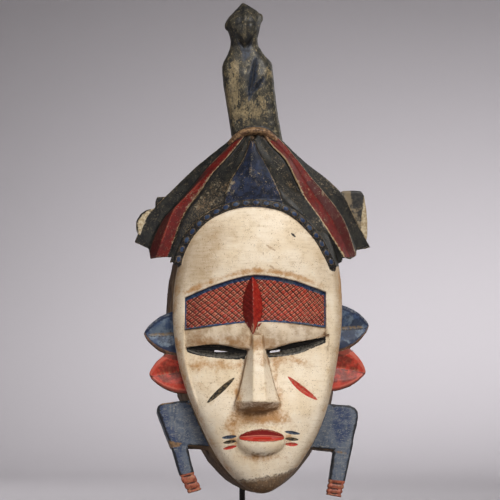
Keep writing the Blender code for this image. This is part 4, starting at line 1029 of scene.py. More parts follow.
def components():
    """The overlapping forms that the mask is carved from, as closed meshes."""
    d = DETAIL
    block = shield(d)
    block.name = "form_shield"
    troughs, slits = eyes()
    drop(slits)
    cuts = [band_recess(), cheek_cut(), *troughs]
    cuts += [
        trough("cut_scar_left", *SCAR_LEFT[:2], SCAR_LEFT[2], SCAR_LEFT[2], 2.4, stations=25, surface=cheek_y),
        trough("cut_scar_right", *SCAR_RIGHT[:2], SCAR_RIGHT[2], SCAR_RIGHT[2], 2.4, stations=25, bow=SCAR_RIGHT[3], surface=cheek_y),
    ]
    cut_by(block, cuts)
    drop(cuts)
    forms = {
        "shield": block,
        "nose": nose(),
        "lozenge": lozenge(),
        "lips": mouth(),
        "coiffure": coiffure(),
        "headband": headband(),
        "horn_right": horn_right(),
        "horn_left": horn_left(),
        "knob_left": knob_left(),
        **{name: lobe("form_" + name, top, low, tip, 5.0 if "blue" in name else 6.0, 14, -1 if tip[0] < 0 else 1, rise=rise) for name, (top, low, tip, rise) in EARS.items()},
        "block_left": board("form_block_left", [(-84.6, 145.0), (-83.6, 148.2), (-80.6, 150.2), (-70.0, 151.8), (-55.0, 153.0), (-46.2, 133.0), (-37.5, 113.0), (-60.4, 114.6), (-72.8, 114.4)], 11, 25, under=3.6),
        "leg_left": leg("form_leg_left", [(-67.6, 122.0), (-62.2, 102.0), (-57.8, 88.0), (-51.8, 75.2)], (7.0, 6.0), 11.4, 24),
        "block_right": board("form_block_right", [(57.6, 148.9), (66.0, 149.4), (80.0, 148.6), (85.0, 146.4), (87.4, 142.8), (87.6, 138.0), (81.6, 110.6), (66.2, 110.0), (43.5, 112.4), (50.6, 131.0)], 11, 25, under=2.0),
        "leg_right": leg("form_leg_right", [(75.6, 118.0), (73.0, 104.0), (69.6, 86.0), (66.4, 71.2)], (8.0, 6.4), 11.4, 24),
        "figure": figure(),
        "collar": collar(),
        "apex": ellipsoid("form_apex", (-6.0, -2.4, 375.6), (5.0, 6.0, 4.6), 16, 10),
        "crest_ear_left": figure_ear("form_crest_ear_left", -25.2, 472.2, -1),
        "crest_ear_right": figure_ear("form_crest_ear_right", 3.0, 479.4, 1),
    }
    return forms


def carved_mask(voxel):
    forms = components()
    mask = joined("carved_mask", forms.values())
    mod = mask.modifiers.new("skin", "REMESH")
    mod.mode = "VOXEL"
    mod.voxel_size = voxel * MM
    mod.adaptivity = 0.0
    applied(mask)
    me = mask.data
    print("voxels give", len(me.vertices), "points")
    p = relaxed(points_of(me), edges_of(me), 2, 0.5)
    move_to(me, p)
    p = carve(p, normals_of(me))
    move_to(me, relaxed(p, edges_of(me), 1, 0.25))
    # the hollow behind, with its own gouge marks, and the parting of the lips
    troughs, slits = eyes()
    drop(troughs)
    late = [mouth_cut(), hollow(3), joined("cut_slits", slits)]
    drop(slits)
    me = late[1].data
    bm = bmesh.new()
    bm.from_mesh(me)
    bmesh.ops.subdivide_edges(bm, edges=[e for e in bm.edges if e.calc_length() > 5 * MM], cuts=1, use_grid_fill=True)
    bmesh.ops.triangulate(bm, faces=bm.faces)
    bm.to_mesh(me)
    bm.free()
    p = points_of(me)
    n = normals_of(me)
    inner = (p[:, 1] < RIM_Y - 5)
    push = np.where(inner, -0.9 * (gouges(np.arctan2(p[:, 0], p[:, 2] - 205) * 60, p[:, 1] + 0.4 * np.hypot(p[:, 0], p[:, 2] - 205), 10, 15, 51) - 0.05), 0)
    move_to(me, p + n * push[:, None])
    cut_by(mask, late)
    drop(late)
    return mask, forms


def thinned(mask, most):
    """Fewer triangles where the wood is plain, and most of them where it is cut finely."""
    me = mask.data
    p = points_of(me)
    x, y, z = p.T
    n = normals_of(me)
    faces = sum(len(f.vertices) - 2 for f in me.polygons)
    w = np.full(len(p), 0.92)
    w[(y > 30) | (n[:, 1] > 0.3)] = 1.0
    s, t = bead_place(x, z)
    w[(np.abs(t) < 4) & (z > 255) & (n[:, 1] < -0.1) & (y < 4)] = 0.72
    w[(in_band(x, z) > -1) & (n[:, 1] < -0.1) & (y < 0)] = 0.60
    w[(np.abs(x - 2.3) < 34) & (np.abs(z - 119) < 14) & (n[:, 1] < 0) & (y < 0)] = 0.85
    group = mask.vertex_groups.new(name="keep")
    for level in np.unique(w):
        group.add(np.flatnonzero(w == level).tolist(), float(level), "REPLACE")
    mod = mask.modifiers.new("thin", "DECIMATE")
    mod.decimate_type = "COLLAPSE"
    mod.ratio = most / faces
    mod.vertex_group = "keep"
    mod.vertex_group_factor = 0.6
    mod.use_collapse_triangulate = True
    applied(mask)
    mask.vertex_groups.clear()
    print("thinned from", faces, "to", sum(len(f.vertices) - 2 for f in mask.data.polygons), "triangles")
    return mask


# ---------------------------------------------------------------- where each paint lies
def nearest_forms(p, forms):
    """Distance in mm from every point to each form's skin, capped at 6."""
    out = {}
    for name, obj in forms.items():
        me = obj.data
        q = points_of(me)
        tree = BVHTree.FromPolygons([tuple(v) for v in q], [tuple(f.vertices) for f in me.polygons])
        lo, hi = q.min(0) - 6, q.max(0) + 6
        d = np.full(len(p), 6.0)
        inside = np.flatnonzero(((p > lo) & (p < hi)).all(1))
        for i in inside:
            hit = tree.find_nearest(Vector(p[i]), 6.0)
            if hit[3] is not None:
                d[i] = hit[3]
        out[name] = d
    return out


def strip(x, z, i, j, first=0.0, last=1.0):
    """Signed distance to the strip of the coiffure between two of its lines."""
    t = np.linspace(first, last, 26)
    a, b = spline(LINES[i], t)[:, [0, 2]], spline(LINES[j], t)[:, [0, 2]]
    return in_polygon(x, z, np.vstack([a, b[::-1]]))


def painted(mask, forms):
    """Writes every paint's signed distance, stain and wear, and where shade and highlights are painted, on the mask's
    points.
    """
    me = mask.data
    p, n = points_of(me), normals_of(me)
    x, y, z = p.T
    near = nearest_forms(p, forms)
    stack = np.array([near[k] for k in forms])
    names = list(forms)

    def own(*ks):
        mine = np.minimum.reduce([near[k] for k in ks])
        rest = np.minimum.reduce([near[k] for k in names if k not in ks])
        return np.clip(rest - mine, -4, 4)

    ours = {}
    wob = 0.35 * rough3(p, 3.0, 3, 71)
    face = in_polygon(x, z, outline(160, FACE_HALF_W, CHIN_Z, CROWN_Z, CHIN_EXP, CROWN_EXP))
    front = np.minimum(4.0, (-n[:, 1] - 0.05) * 8)

    # bare wood: the shell's sides, every rear side and the undersides
    shell = own("shield", "nose", "lozenge", "lips")
    raw = np.where(shell > 0, y - 6.3, -4.0)
    ears = own("ear_blue_left", "ear_red_left", "ear_blue_right", "ear_red_right")
    raw = np.where(ears > 0, np.maximum(y - 13.0, (-n[:, 2] - 0.55) * 6 - 0.8 + 0.4 * (y - 9)), raw)
    blocks = own("block_left", "leg_left", "block_right", "leg_right")
    raw = np.where(blocks > 0, np.maximum(y - 23.5, (-n[:, 2] - 0.6) * 8), raw)
    hair = own("coiffure", "headband", "collar", "apex")
    above = np.clip(bead_place(x, z)[1], -4, 4)
    high = (z > 266) & (z < 376) & (y < 12) & (n[:, 1] < 0.2)
    hair = np.where(high & (near["figure"] > 1.5) & (near["knob_left"] > 1.5) & (near["horn_left"] > 1.5) & (near["horn_right"] > 1.5), np.maximum(hair, above), hair)
    raw = np.where(hair > 0, np.maximum(y - 27.0, np.minimum((-n[:, 2] - 0.5) * 9, y - 21)), raw)
    horns = own("horn_right", "horn_left", "knob_left")
    raw = np.where(horns > 0, y - 36.0, raw)
    crest = own("figure", "crest_ear_left", "crest_ear_right")
    raw = np.where(crest > 0, y - 19.0, raw)
    within = in_polygon(x, z, outline(160, RIM_HALF_W - WALL, RIM_LOW_Z + WALL + 2, HOLLOW_TOP_Z, RIM_EXP, CROWN_EXP)) > -2.0
    raw = np.where(within & ((y > 8) | (n[:, 1] > 0.02) & (y - face_y(x, z) > 6.5)), 4.0, raw)
    ours["raw"] = np.clip(raw, -4, 4)

    ours["board"] = blocks
    la, lb = (-56.6, 91.0), (69.2, 84.6)
    ring_l = la[1] - z + 0.24 * (x - la[0])
    ring_r = lb[1] - z - 0.10 * (x - lb[0])
    ours["ring"] = np.minimum(blocks, np.clip(np.where(x < 0, ring_l, ring_r), -4, 4))
    ours["ear_blue"] = own("ear_blue_left", "ear_blue_right")
    ours["ear_red"] = own("ear_red_left", "ear_red_right")
    # where paint pools and wears on the side blocks and the ears
    outer_l = np.interp(z, [70, 88, 114, 148], [-68, -69, -74, -87]) - x
    navy_b = np.where(x < 0, np.maximum(outer_l + 9.5, in_polygon(x, z, [(-71, 121), (-66.6, 121), (-60.8, 92), (-66.5, 92)])), in_polygon(x, z, [(66, 147), (80, 146), (82, 136), (78, 120), (71, 114), (66, 126)]))
    ours["board_navy"] = np.clip(np.minimum(navy_b, 14 - y), -4, 4)
    tan_b = np.maximum.reduce([
        in_polygon(x, z, [(-75.5, 118.5), (-63.0, 116.0), (-65.5, 113.4), (-73.0, 112.0)]), leaf(x, z, (66.2, 109.4), (77.6, 107.4), 0.7), leaf(x, z, (-84.0, 148.6), (-68.0, 151.8), 0.5), leaf(x, z, (-60.5, 150.2), (-52.5, 149.2), 0.6),
    ])
    ours["board_tan"] = np.where(n[:, 1] < 0.1, np.clip(tan_b, -4, 4), -4.0)
    valley, line_, rim_, bowl, under_ = (np.full(len(p), -4.0) for _ in range(5))
    for root_top, root_low, tip, rise in EARS.values():
        top, low, tip = (np.asarray(q, float) for q in (root_top, root_low, tip))
        mid_root = top * (1 - rise) + low * rise
        s_, t_, length = to_segment(x, z, mid_root, tip)
        k = (1 - np.clip(s_, 0, 1) ** 1.85) ** 0.74 * 0.97 + 0.03
        sign = np.sign((top - mid_root)[0] * -(tip - mid_root)[1] + (top - mid_root)[1] * (tip - mid_root)[0])
        wide = np.where(t_ * sign > 0, np.linalg.norm(top - mid_root), np.linalg.norm(low - mid_root)) * k
        here = (s_ > -0.25) & (s_ < 1.2) & (np.abs(t_) < np.maximum(wide, 1) + 4) & (n[:, 1] < 0.2)
        across = np.array([-(tip - mid_root)[1], (tip - mid_root)[0]]) / length
        off = t_ - ((top + low) / 2 - mid_root).dot(across) * k
        valley = np.where(here, np.maximum(valley, 1.3 - np.abs(off) - 3.0 * smooth(0.75, 1.0, s_)), valley)
        line_ = np.where(here, np.maximum(line_, 0.55 - np.abs(off + sign * 1.4)), line_)
        rim_ = np.where(here, np.maximum(rim_, np.abs(t_) - wide + 4.2), rim_)
        under_ = np.where(here, np.maximum(under_, -t_ * sign - wide + 2.6), under_)
        bowl = np.where(here, np.maximum(bowl, np.minimum(wide * 0.62 - np.abs(t_), (1 - s_) * length - 7)), bowl)
    ours["ear_under"] = np.where(y < 14, np.minimum(np.clip(under_, -4, 4), np.clip(ears, -4, 4)), -4.0)
    ours["ear_valley"], ours["ear_line"], ours["ear_rim"], ours["ear_bowl"] = (np.clip(v, -4, 4) for v in (valley, line_, rim_, bowl))
    hair = np.maximum(hair, own("horn_left"))
    ours["hair"] = hair
    reds = np.maximum(strip(x, z, 2, 4), strip(x, z, 16, 18))
    # the parts of the red strips that get painted shade
    deep = np.maximum(strip(x, z, 2, 3, 0.35), strip(x, z, 17, 18, 0.45))
    ours["hair_red"] = np.minimum(hair, np.clip(reds, -4, 4))
    ours["hair_red_shade"] = np.minimum(hair, np.clip(deep, -4, 4))
    navy = strip(x, z, 8, 12, 0.0, 0.86)
    ours["hair_navy"] = np.minimum(hair, np.clip(navy, -4, 4))
    ours["horn"] = own("horn_right")
    ours["horn_pale"] = np.clip(np.minimum(x - 91.0 - 0.10 * (z - 300), 331.5 - z), -4, 4)
    ours["knob"] = own("knob_left")
    ours["crest"] = crest

    # thin pale lines along the coiffure's arrises, and a painted highlight along the ridge of the left red strip
    def lines_at(marks):
        out = np.full(len(p), -4.0)
        for i, width, first, last in marks:
            line = spline(LINES[i], np.linspace(first, last, 36))[:, [0, 2]]
            d, s = to_line(x, z, line)
            out = np.maximum(out, width - d)
        return out

    pale = lines_at((
        (0, 0.40, 0.12, 0.97), (2, 0.24, 0.04, 0.30), (4, 0.36, 0.03, 0.93), (5, 0.30, 0.55, 0.92), (7, 0.38, 0.03, 0.72), (13, 0.36, 0.03, 0.72),
        (16, 0.62, 0.0, 0.99), (18, 0.36, 0.04, 0.99), (20, 0.45, 0.55, 0.99), (12, 0.26, 0.5, 0.9), (17, 0.18, 0.5, 0.8),
    ))
    for line, width in (
        ([(-19.5, 338.0), (-12.4, 343.6), (-7.2, 347.4)], 0.30), ([(-7.2, 347.4), (-1.0, 342.0), (7.5, 333.0), (16.5, 322.6)], 0.30),
        ([(33.5, 333.5), (37.5, 337.5), (43.8, 331.0)], 0.22), ([(-62.0, 293.0), (-50.0, 306.0), (-38.0, 313.0)], 0.24), ([(-66.0, 285.0), (-58.0, 300.0)], 0.22),
        ([(58.0, 300.0), (66.0, 288.0), (74.0, 276.0)], 0.24), ([(-4.4, 377.0), (-5.2, 366.0)], 0.35),
    ):
        d, _ = to_line(x, z, line)
        pale = np.maximum(pale, width - d)
    ours["pale"] = np.minimum(np.clip(pale, -4, 4), np.clip(hair * 2, -4, 4))
    ours["red_ridge_highlight"] = np.minimum(np.clip(lines_at(((3, 1.0, 0.45, 0.90),)), -4, 4), hair)
    apex = [(-22.5, 373.0), (-12.1, 381.0), (-3.6, 383.0), (6.7, 381.6), (16.2, 375.2)]
    d, _ = to_line(x, z, apex)
    foot = np.maximum(1.7 - d, in_polygon(x, z, [(-2.5, 380.0), (3.0, 386.0), (12.5, 380.5), (14.5, 374.0), (8.5, 371.5), (3.0, 375.5)]))
    foot = np.maximum(foot, in_polygon(x, z, [(-24.0, 371.0), (-16.0, 380.5), (-6.5, 383.5), (-6.0, 379.0), (-14.0, 374.5)]))
    ours["foot"] = np.maximum(np.where(n[:, 1] < 0.15, np.clip(foot, -4, 4), -4.0), own("collar", "apex"))
    scuff = (
        0.8 * blob(x, z, -37, 333, 8, 9) + 0.75 * blob(x, z, -24, 331, 7, 8) + 0.9 * blob(x, z, -42, 312, 13, 10) + 0.6 * blob(x, z, -52, 322, 9, 9)
        + 0.55 * blob(x, z, 31, 330, 12, 12) + 0.5 * blob(x, z, 20, 352, 8, 14) + 0.6 * blob(x, z, 52, 303, 10, 12) + 0.5 * blob(x, z, 62, 336, 16, 12)
        + 0.25 * blob(x, z, -88, 306, 12, 14) + 0.35 * blob(x, z, -22, 356, 8, 10) + 0.3 * blob(x, z, 82, 305, 8, 16) + 0.12
    )
    ours["scuff"] = np.clip(scuff, 0, 1) * smooth(-0.5, 0.5, hair)
    ours["stipple"] = np.clip(in_polygon(x, z, [(-46, 328), (-31, 331), (-29, 319), (-44, 309), (-60, 291), (-66, 296)]), -4, 4)

    # headband
    s, t = bead_place(x, z)
    ours["bead_s"] = s / BEAD_GAP
    ours["bead_t"] = np.clip(t - 0.3, -6, 6)
    ours["bead_on"] = np.where((z > 256) & (y < 6), np.clip(2.9 - np.abs(t - 0.3), -4, 4), -4.0)

    # brow band
    front_only = np.where((n[:, 1] < 0.1) & (y < 0), 4.0, -4.0)
    a, b = hatch(x, z)
    ours["band"] = np.minimum(np.clip(in_band(x, z), -4, 4), front_only)
    ours["band_dark"] = np.clip(smooth(-32, -58, x) * 0.9 + smooth(14, 2, z - band_low(x)) * 0.75 + smooth(34, 56, x) * 0.5 + 0.35 * rough3(p, 9.0, 3, 83), 0, 1)
    ours["band_up"] = band_top(x) - z
    ours["band_down"] = z - band_low(x)
    ours["band_side"] = np.minimum(x - BAND_X[0], BAND_X[1] - x)
    ours["hatch_a"], ours["hatch_b"] = a, b
    loz = own("lozenge")
    wings = np.maximum(in_polygon(x, z, [(-12.6, 218.5), (-9.2, 216.5), (-7.8, 210.5)]), in_polygon(x, z, [(2.4, 217.5), (-1.2, 216.0), (-2.4, 210.0)]))
    # which side of the lozenge's ridge a point lies, for the painted shade on its left facet
    ours["facet"] = np.clip(x + 5.6 + 0.02 * (z - 230), -4, 4)
    ours["lozenge"] = np.maximum(loz, np.minimum(np.clip(wings, -4, 4), front_only))

    # eyes, scars, whiskers, lips
    def between(x0, x1, upper, lower):
        return np.minimum.reduce([x - x0, x1 - x, upper - z, z - lower])

    xl, xr = np.clip(x, -60, -9), np.clip(x, 6, 57)
    eye_l = between(-60.2, -9.0, lid_line(xl) + 1.6, along([-60, -50, -38, -26, -9], [192.8, 190.0, 188.2, 186.8, 186.6], xl))
    eye_r = between(5.8, 57.4, lid_line(xr) + 1.6, along([6, 22, 36, 48, 57], [188.0, 189.4, 192.2, 197.0, 200.8], xr))
    eye = np.maximum(eye_l, eye_r)
    depth = y - cheek_y(x, z)
    lids = np.minimum.reduce([band_low(np.clip(x, -62, 57)) + 0.6 - z, z - lid_line(np.clip(x, -60, 57)) + 0.4, x + 61, 58 - x])
    ours["lid"] = np.minimum(np.clip(lids, -4, 4), front_only)
    ours["eye"] = np.where(y < 30, np.minimum(np.clip(eye, -4, 4), np.clip((depth + 0.1) * 3, -4, 4)), -4)
    # the eyes' lower walls, which face up, for the painted light on them
    lower_wall = np.clip((n[:, 2] - 0.15) * 8, -4, 4)
    ours["eye_floor_lit"] = np.minimum(ours["eye"], lower_wall)
    scar_l = leaf(x, z, *SCAR_LEFT[:2], SCAR_LEFT[2] + 0.3, 0.6, 0.0)
    scar_r = leaf(x, z, *SCAR_RIGHT[:2], SCAR_RIGHT[2] + 0.35, 0.6, SCAR_RIGHT[3])
    marks = {k: np.maximum.reduce([leaf(x, z, p0, p1, h + 0.25) for p0, p1, h in v]) for k, v in WHISKERS.items()}
    ours["ink"] = np.minimum(np.clip(np.maximum(scar_l, marks["black"]), -4, 4), front_only)
    ours["ink_blue"] = np.minimum(np.clip(marks["blue"], -4, 4), front_only)
    ours["mark_red"] = np.minimum(np.clip(np.maximum(scar_r, marks["red"]), -4, 4), front_only)
    xm = np.clip(x, -16.8, 21.0)
    sm = (xm + 16.8) / 37.8
    km = np.sin(np.pi * sm) ** 0.5
    zv = 121.2 + 1.4 * np.sin(np.pi * sm)
    lips = np.minimum.reduce([x + 16.6, 20.8 - x, zv + 5.3 * km + 0.3 - z, z - (zv - 4.6 * km)])
    ours["lips"] = np.minimum(np.clip(lips, -4, 4), front_only)
    # height above the lips' parting, for the painted shade on the upper lip and the painted highlight along the parting
    ours["lip_shade_and_highlight"] = np.clip(z - zv - 0.4, -4, 4)

    # stains on the pale ground, each where grime and handling would leave it, and painted shade under the nose, along
    # the lids' lower edge, round the face's rim and over the forehead's left side
    ochre = (
        1.25 * blob(x, z, 1, 140.5, 21, 7.5) + 0.65 * blob(x, z, -23, 132, 7, 9) + 0.75 * blob(x, z, -21, 121, 4.5, 6) + 0.6 * blob(x, z, 25, 121, 4.5, 6) + 0.7 * blob(x, z, -18.5, 154, 2.4, 9) + 0.6 * blob(x, z, 18.0, 154, 2.4, 8) + 0.40 * blob(x, z, 25, 132, 7, 8)
        + 0.8 * blob(x, z, 2, 105, 24, 4.5) + 0.40 * blob(x, z, 15, 168, 2.8, 20) + 0.45 * blob(x, z, -16, 166, 2.8, 20)
        + 0.6 * blob(x, z, 24, 186, 22, 5) + 0.5 * blob(x, z, -30, 183, 26, 5) + 0.35 * blob(x, z, -50, 178, 16, 22)
        + 0.55 * blob(x, z, -2, 199, 14, 6) + 0.62 * blob(x, z, -36, 201, 30, 7) + 0.30 * blob(x, z, 3, 178, 13, 34)
    )
    rim = band_top(np.clip(x, -62, 57)) + 4.0 - z
    ochre = ochre + 0.75 * smooth(5.0, 0.0, np.abs(rim)) * smooth(-70, -58, x) * smooth(62, 40, x)
    ochre = ochre + 0.45 * smooth(7.0, 1.0, face) * smooth(2, -4, y)
    # grime, with painted shade on the faces that look down under the nose, along the lids' lower edge and in the gap
    # round the face's rim
    dirt_and_shade = 0.95 * blob(x, z, 0, 142, 20, 4.5) + 0.55 * blob(x, z, -22, 136, 6, 5) + 0.8 * blob(x, z, 2, 107.5, 19, 2.5)
    dirt_and_shade = dirt_and_shade + 0.35 * smooth(3.5, 0.5, face) * smooth(2, -4, y)
    dirt_and_shade = dirt_and_shade + 0.75 * smooth(0.15, 0.6, -n[:, 2]) * blob(x, z, 0, 148, 24, 9) + 0.5 * smooth(0.8, 0.1, np.abs(z - lid_line(np.clip(x, -60, 57)) - 1.2)) * smooth(58, 52, np.abs(x + 2))
    chin_line = along([-70, -45, -31, -19, -6, 9, 22, 31, 50], [104, 95, 88.5, 84.6, 86.4, 88, 91.6, 94.6, 98.5], x)
    ours["chin"] = np.clip(chin_line - z + 1.6 * rough3(p, 6.0, 3, 77), -8, 8)
    ours["ochre"] = np.clip(ochre, 0, 1)
    ours["dirt_and_shade"] = np.clip(dirt_and_shade, 0, 1)
    ours["edge"] = np.clip(face, -4, 12)
    # painted shade: darker over the forehead's left side, the right temple, the forehead's rim and the face's right
    # edge
    ours["painted_shade"] = np.clip(0.9 * blob(x, z, -52, 268, 20, 30) + 0.55 * blob(x, z, -34, 292, 20, 14) + 0.5 * blob(x, z, 58, 262, 12, 26) + 0.8 * smooth(9.0, 1.0, face) * smooth(236, 246, z) + 0.6 * smooth(11.0, 2.0, face) * smooth(20, 40, x) + 0.35 * blob(x, z, 42, 286, 22, 22), 0, 1) * smooth(4, -2, y)
    ours["depth"] = y
    # a few short strokes and a chip on the forehead
    strokes = np.maximum.reduce([
        leaf(x, z, (26.4, 292.4), (30.6, 288.6), 0.9), leaf(x, z, (27.0, 289.6), (29.4, 292.0), 0.6), leaf(x, z, (-1.4, 294.8), (0.0, 294.0), 0.7),
    ])
    faint = np.maximum.reduce([leaf(x, z, (4.2, 282.7), (13.4, 276.9), 0.8), leaf(x, z, (7.5, 265.1), (12.6, 261.8), 0.8), leaf(x, z, (-46.2, 206.6), (-43.4, 201.8), 0.6), leaf(x, z, (-36, 94.6), (-30, 99.5), 0.9)])
    ours["stroke"] = np.minimum(np.clip(strokes, -4, 4), front_only)
    ours["faint"] = np.minimum(np.clip(faint, -4, 4), front_only)

    # crest figure: where its paint has worn to the wood
    bare = 0.9 * blob(x, z, -22, 414, 6, 18) + 0.7 * blob(x, z, -12, 396, 12, 14) + 0.55 * blob(x, z, -18, 436, 8, 8) + 0.5 * blob(x, z, 4, 404, 9, 12) + 0.5 * blob(x, z, 8, 432, 6, 8)
    ours["bare"] = np.clip(bare, 0, 1)
    ours["head"] = np.clip(z - 449.0, -4, 12) * (crest > 0)
    groove = np.maximum.reduce([leaf(x, z, p0, p1, h + 0.5, 0.45) for p0, p1, h in CREST_CUTS])
    groove = np.maximum.reduce([groove])
    throat = in_polygon(x, z, [(-17.5, 459.5), (-10.6, 452.6), (-4.0, 459.5), (-6.5, 446.0), (-11.5, 441.0), (-13.5, 448.0)])
    ours["crest_blue"] = np.clip(np.maximum(groove, throat), -4, 4)

    # hollows and arrises, from how the surface bends over about 2 mm
    edges = edges_of(me)
    bend = ((relaxed(p, edges, 3, 0.6) - p) * n).sum(1)
    ours["cavity"] = np.clip(relaxed(bend[:, None], edges, 1, 0.5)[:, 0], -1.5, 1.5)
    ours["cavity"] *= 1 - 0.9 * blob(x, z, -56, 172, 16, 34) * (shell > 0) * (y < 2)
    wide = ((relaxed(p, edges, 14, 0.6) - p) * n).sum(1)
    ours["hollow"] = np.clip(wide, -3, 3)
    for key, value in ours.items():
        attribute = me.attributes.new(key, "FLOAT", "POINT")
        attribute.data.foreach_set("value", np.asarray(value, np.float32))
    return ours


# ---------------------------------------------------------------- shader building
def tint(r, g, b):
    """A colour given from 0 to 255 as it is seen, for a shader."""
    def linear(c):
        c = c / 255
        return c / 12.92 if c <= 0.04045 else ((c + 0.055) / 1.055) ** 2.4
    return (linear(r), linear(g), linear(b), 1.0)


class Shader:
    def __init__(self, name):
        self.mat = bpy.data.materials.new(name)
        self.mat.use_nodes = True
        self.tree = self.mat.node_tree
        self.tree.nodes.clear()
        self.out = self.add("ShaderNodeOutputMaterial")
        self.bsdf = self.add("ShaderNodeBsdfPrincipled")
        self.tree.links.new(self.bsdf.outputs[0], self.out.inputs["Surface"])
        place = self.add("ShaderNodeTexCoord")
        self.mm = self.scaled(place.outputs["Object"], (1000.0, 1000.0, 1000.0))

    def add(self, kind, **settings):
        node = self.tree.nodes.new(kind)
        for k, v in settings.items():
            setattr(node, k, v)
        return node

    def put(self, value, socket):
        if isinstance(value, bpy.types.NodeSocket):
            self.tree.links.new(value, socket)
        else:
            socket.default_value = value

    def scaled(self, vector, by):
        node = self.add("ShaderNodeVectorMath", operation="MULTIPLY")
        self.put(vector, node.inputs[0])
        node.inputs[1].default_value = by
        return node.outputs[0]

    def math(self, operation, a, b=0.0, c=0.0, clamp=False):
        node = self.add("ShaderNodeMath", operation=operation, use_clamp=clamp)
        for value, socket in zip((a, b, c), node.inputs):
            self.put(value, socket)
        return node.outputs[0]

    def sum(self, *terms):
        total = terms[0]
        for t in terms[1:]:
            total = self.math("ADD", total, t)
        return total

    def times(self, *terms):
        total = terms[0]
        for t in terms[1:]:
            total = self.math("MULTIPLY", total, t)
        return total

    def most(self, *terms):
        total = terms[0]
        for t in terms[1:]:
            total = self.math("MAXIMUM", total, t)
        return total

    def held(self, name):
        return self.add("ShaderNodeAttribute", attribute_name=name, attribute_type="GEOMETRY").outputs["Fac"]

    def noise(self, size, detail=3.0, rough=0.55, warp=0.0, shift=0.0):
        """Noise about 0.5 with features of this size, or sizes along X, Y and Z, in mm."""
        sizes = (size,) * 3 if isinstance(size, (int, float)) else size
        node = self.add("ShaderNodeTexNoise")
        vector = self.scaled(self.mm, tuple(1.0 / s for s in sizes))
        if shift:
            moved = self.add("ShaderNodeVectorMath", operation="ADD")
            self.put(vector, moved.inputs[0])
            moved.inputs[1].default_value = (shift, shift * 0.7, -shift)
            vector = moved.outputs[0]
        self.put(vector, node.inputs["Vector"])
        for key, v in (("Scale", 1.0), ("Detail", detail), ("Roughness", rough), ("Distortion", warp)):
            node.inputs[key].default_value = v
        return node.outputs["Fac"]

    def ramp(self, x, low, high, to_low=0.0, to_high=1.0):
        node = self.add("ShaderNodeMapRange", interpolation_type="SMOOTHSTEP")
        for value, key in ((x, "Value"), (low, "From Min"), (high, "From Max"), (to_low, "To Min"), (to_high, "To Max")):
            self.put(value, node.inputs[key])
        return node.outputs["Result"]

    def mix(self, share, a, b, blend="MIX"):
        node = self.add("ShaderNodeMix", data_type="RGBA", blend_type=blend)
        sockets = [s for s in node.inputs if s.enabled]
        for value, socket in zip((share, a, b), sockets):
            self.put(value, socket)
        return next(s for s in node.outputs if s.enabled)

    def blend(self, share, a, b):
        """One number mixed towards another."""
        return self.math("ADD", a, self.math("MULTIPLY", share, self.math("SUBTRACT", b, a)))

    def bump(self, height, distance, normal=None, strength=1.0):
        node = self.add("ShaderNodeBump")
        node.inputs["Strength"].default_value = strength
        node.inputs["Distance"].default_value = distance * MM
        self.put(height, node.inputs["Height"])
        if normal is not None:
            self.put(normal, node.inputs["Normal"])
        return node.outputs[0]


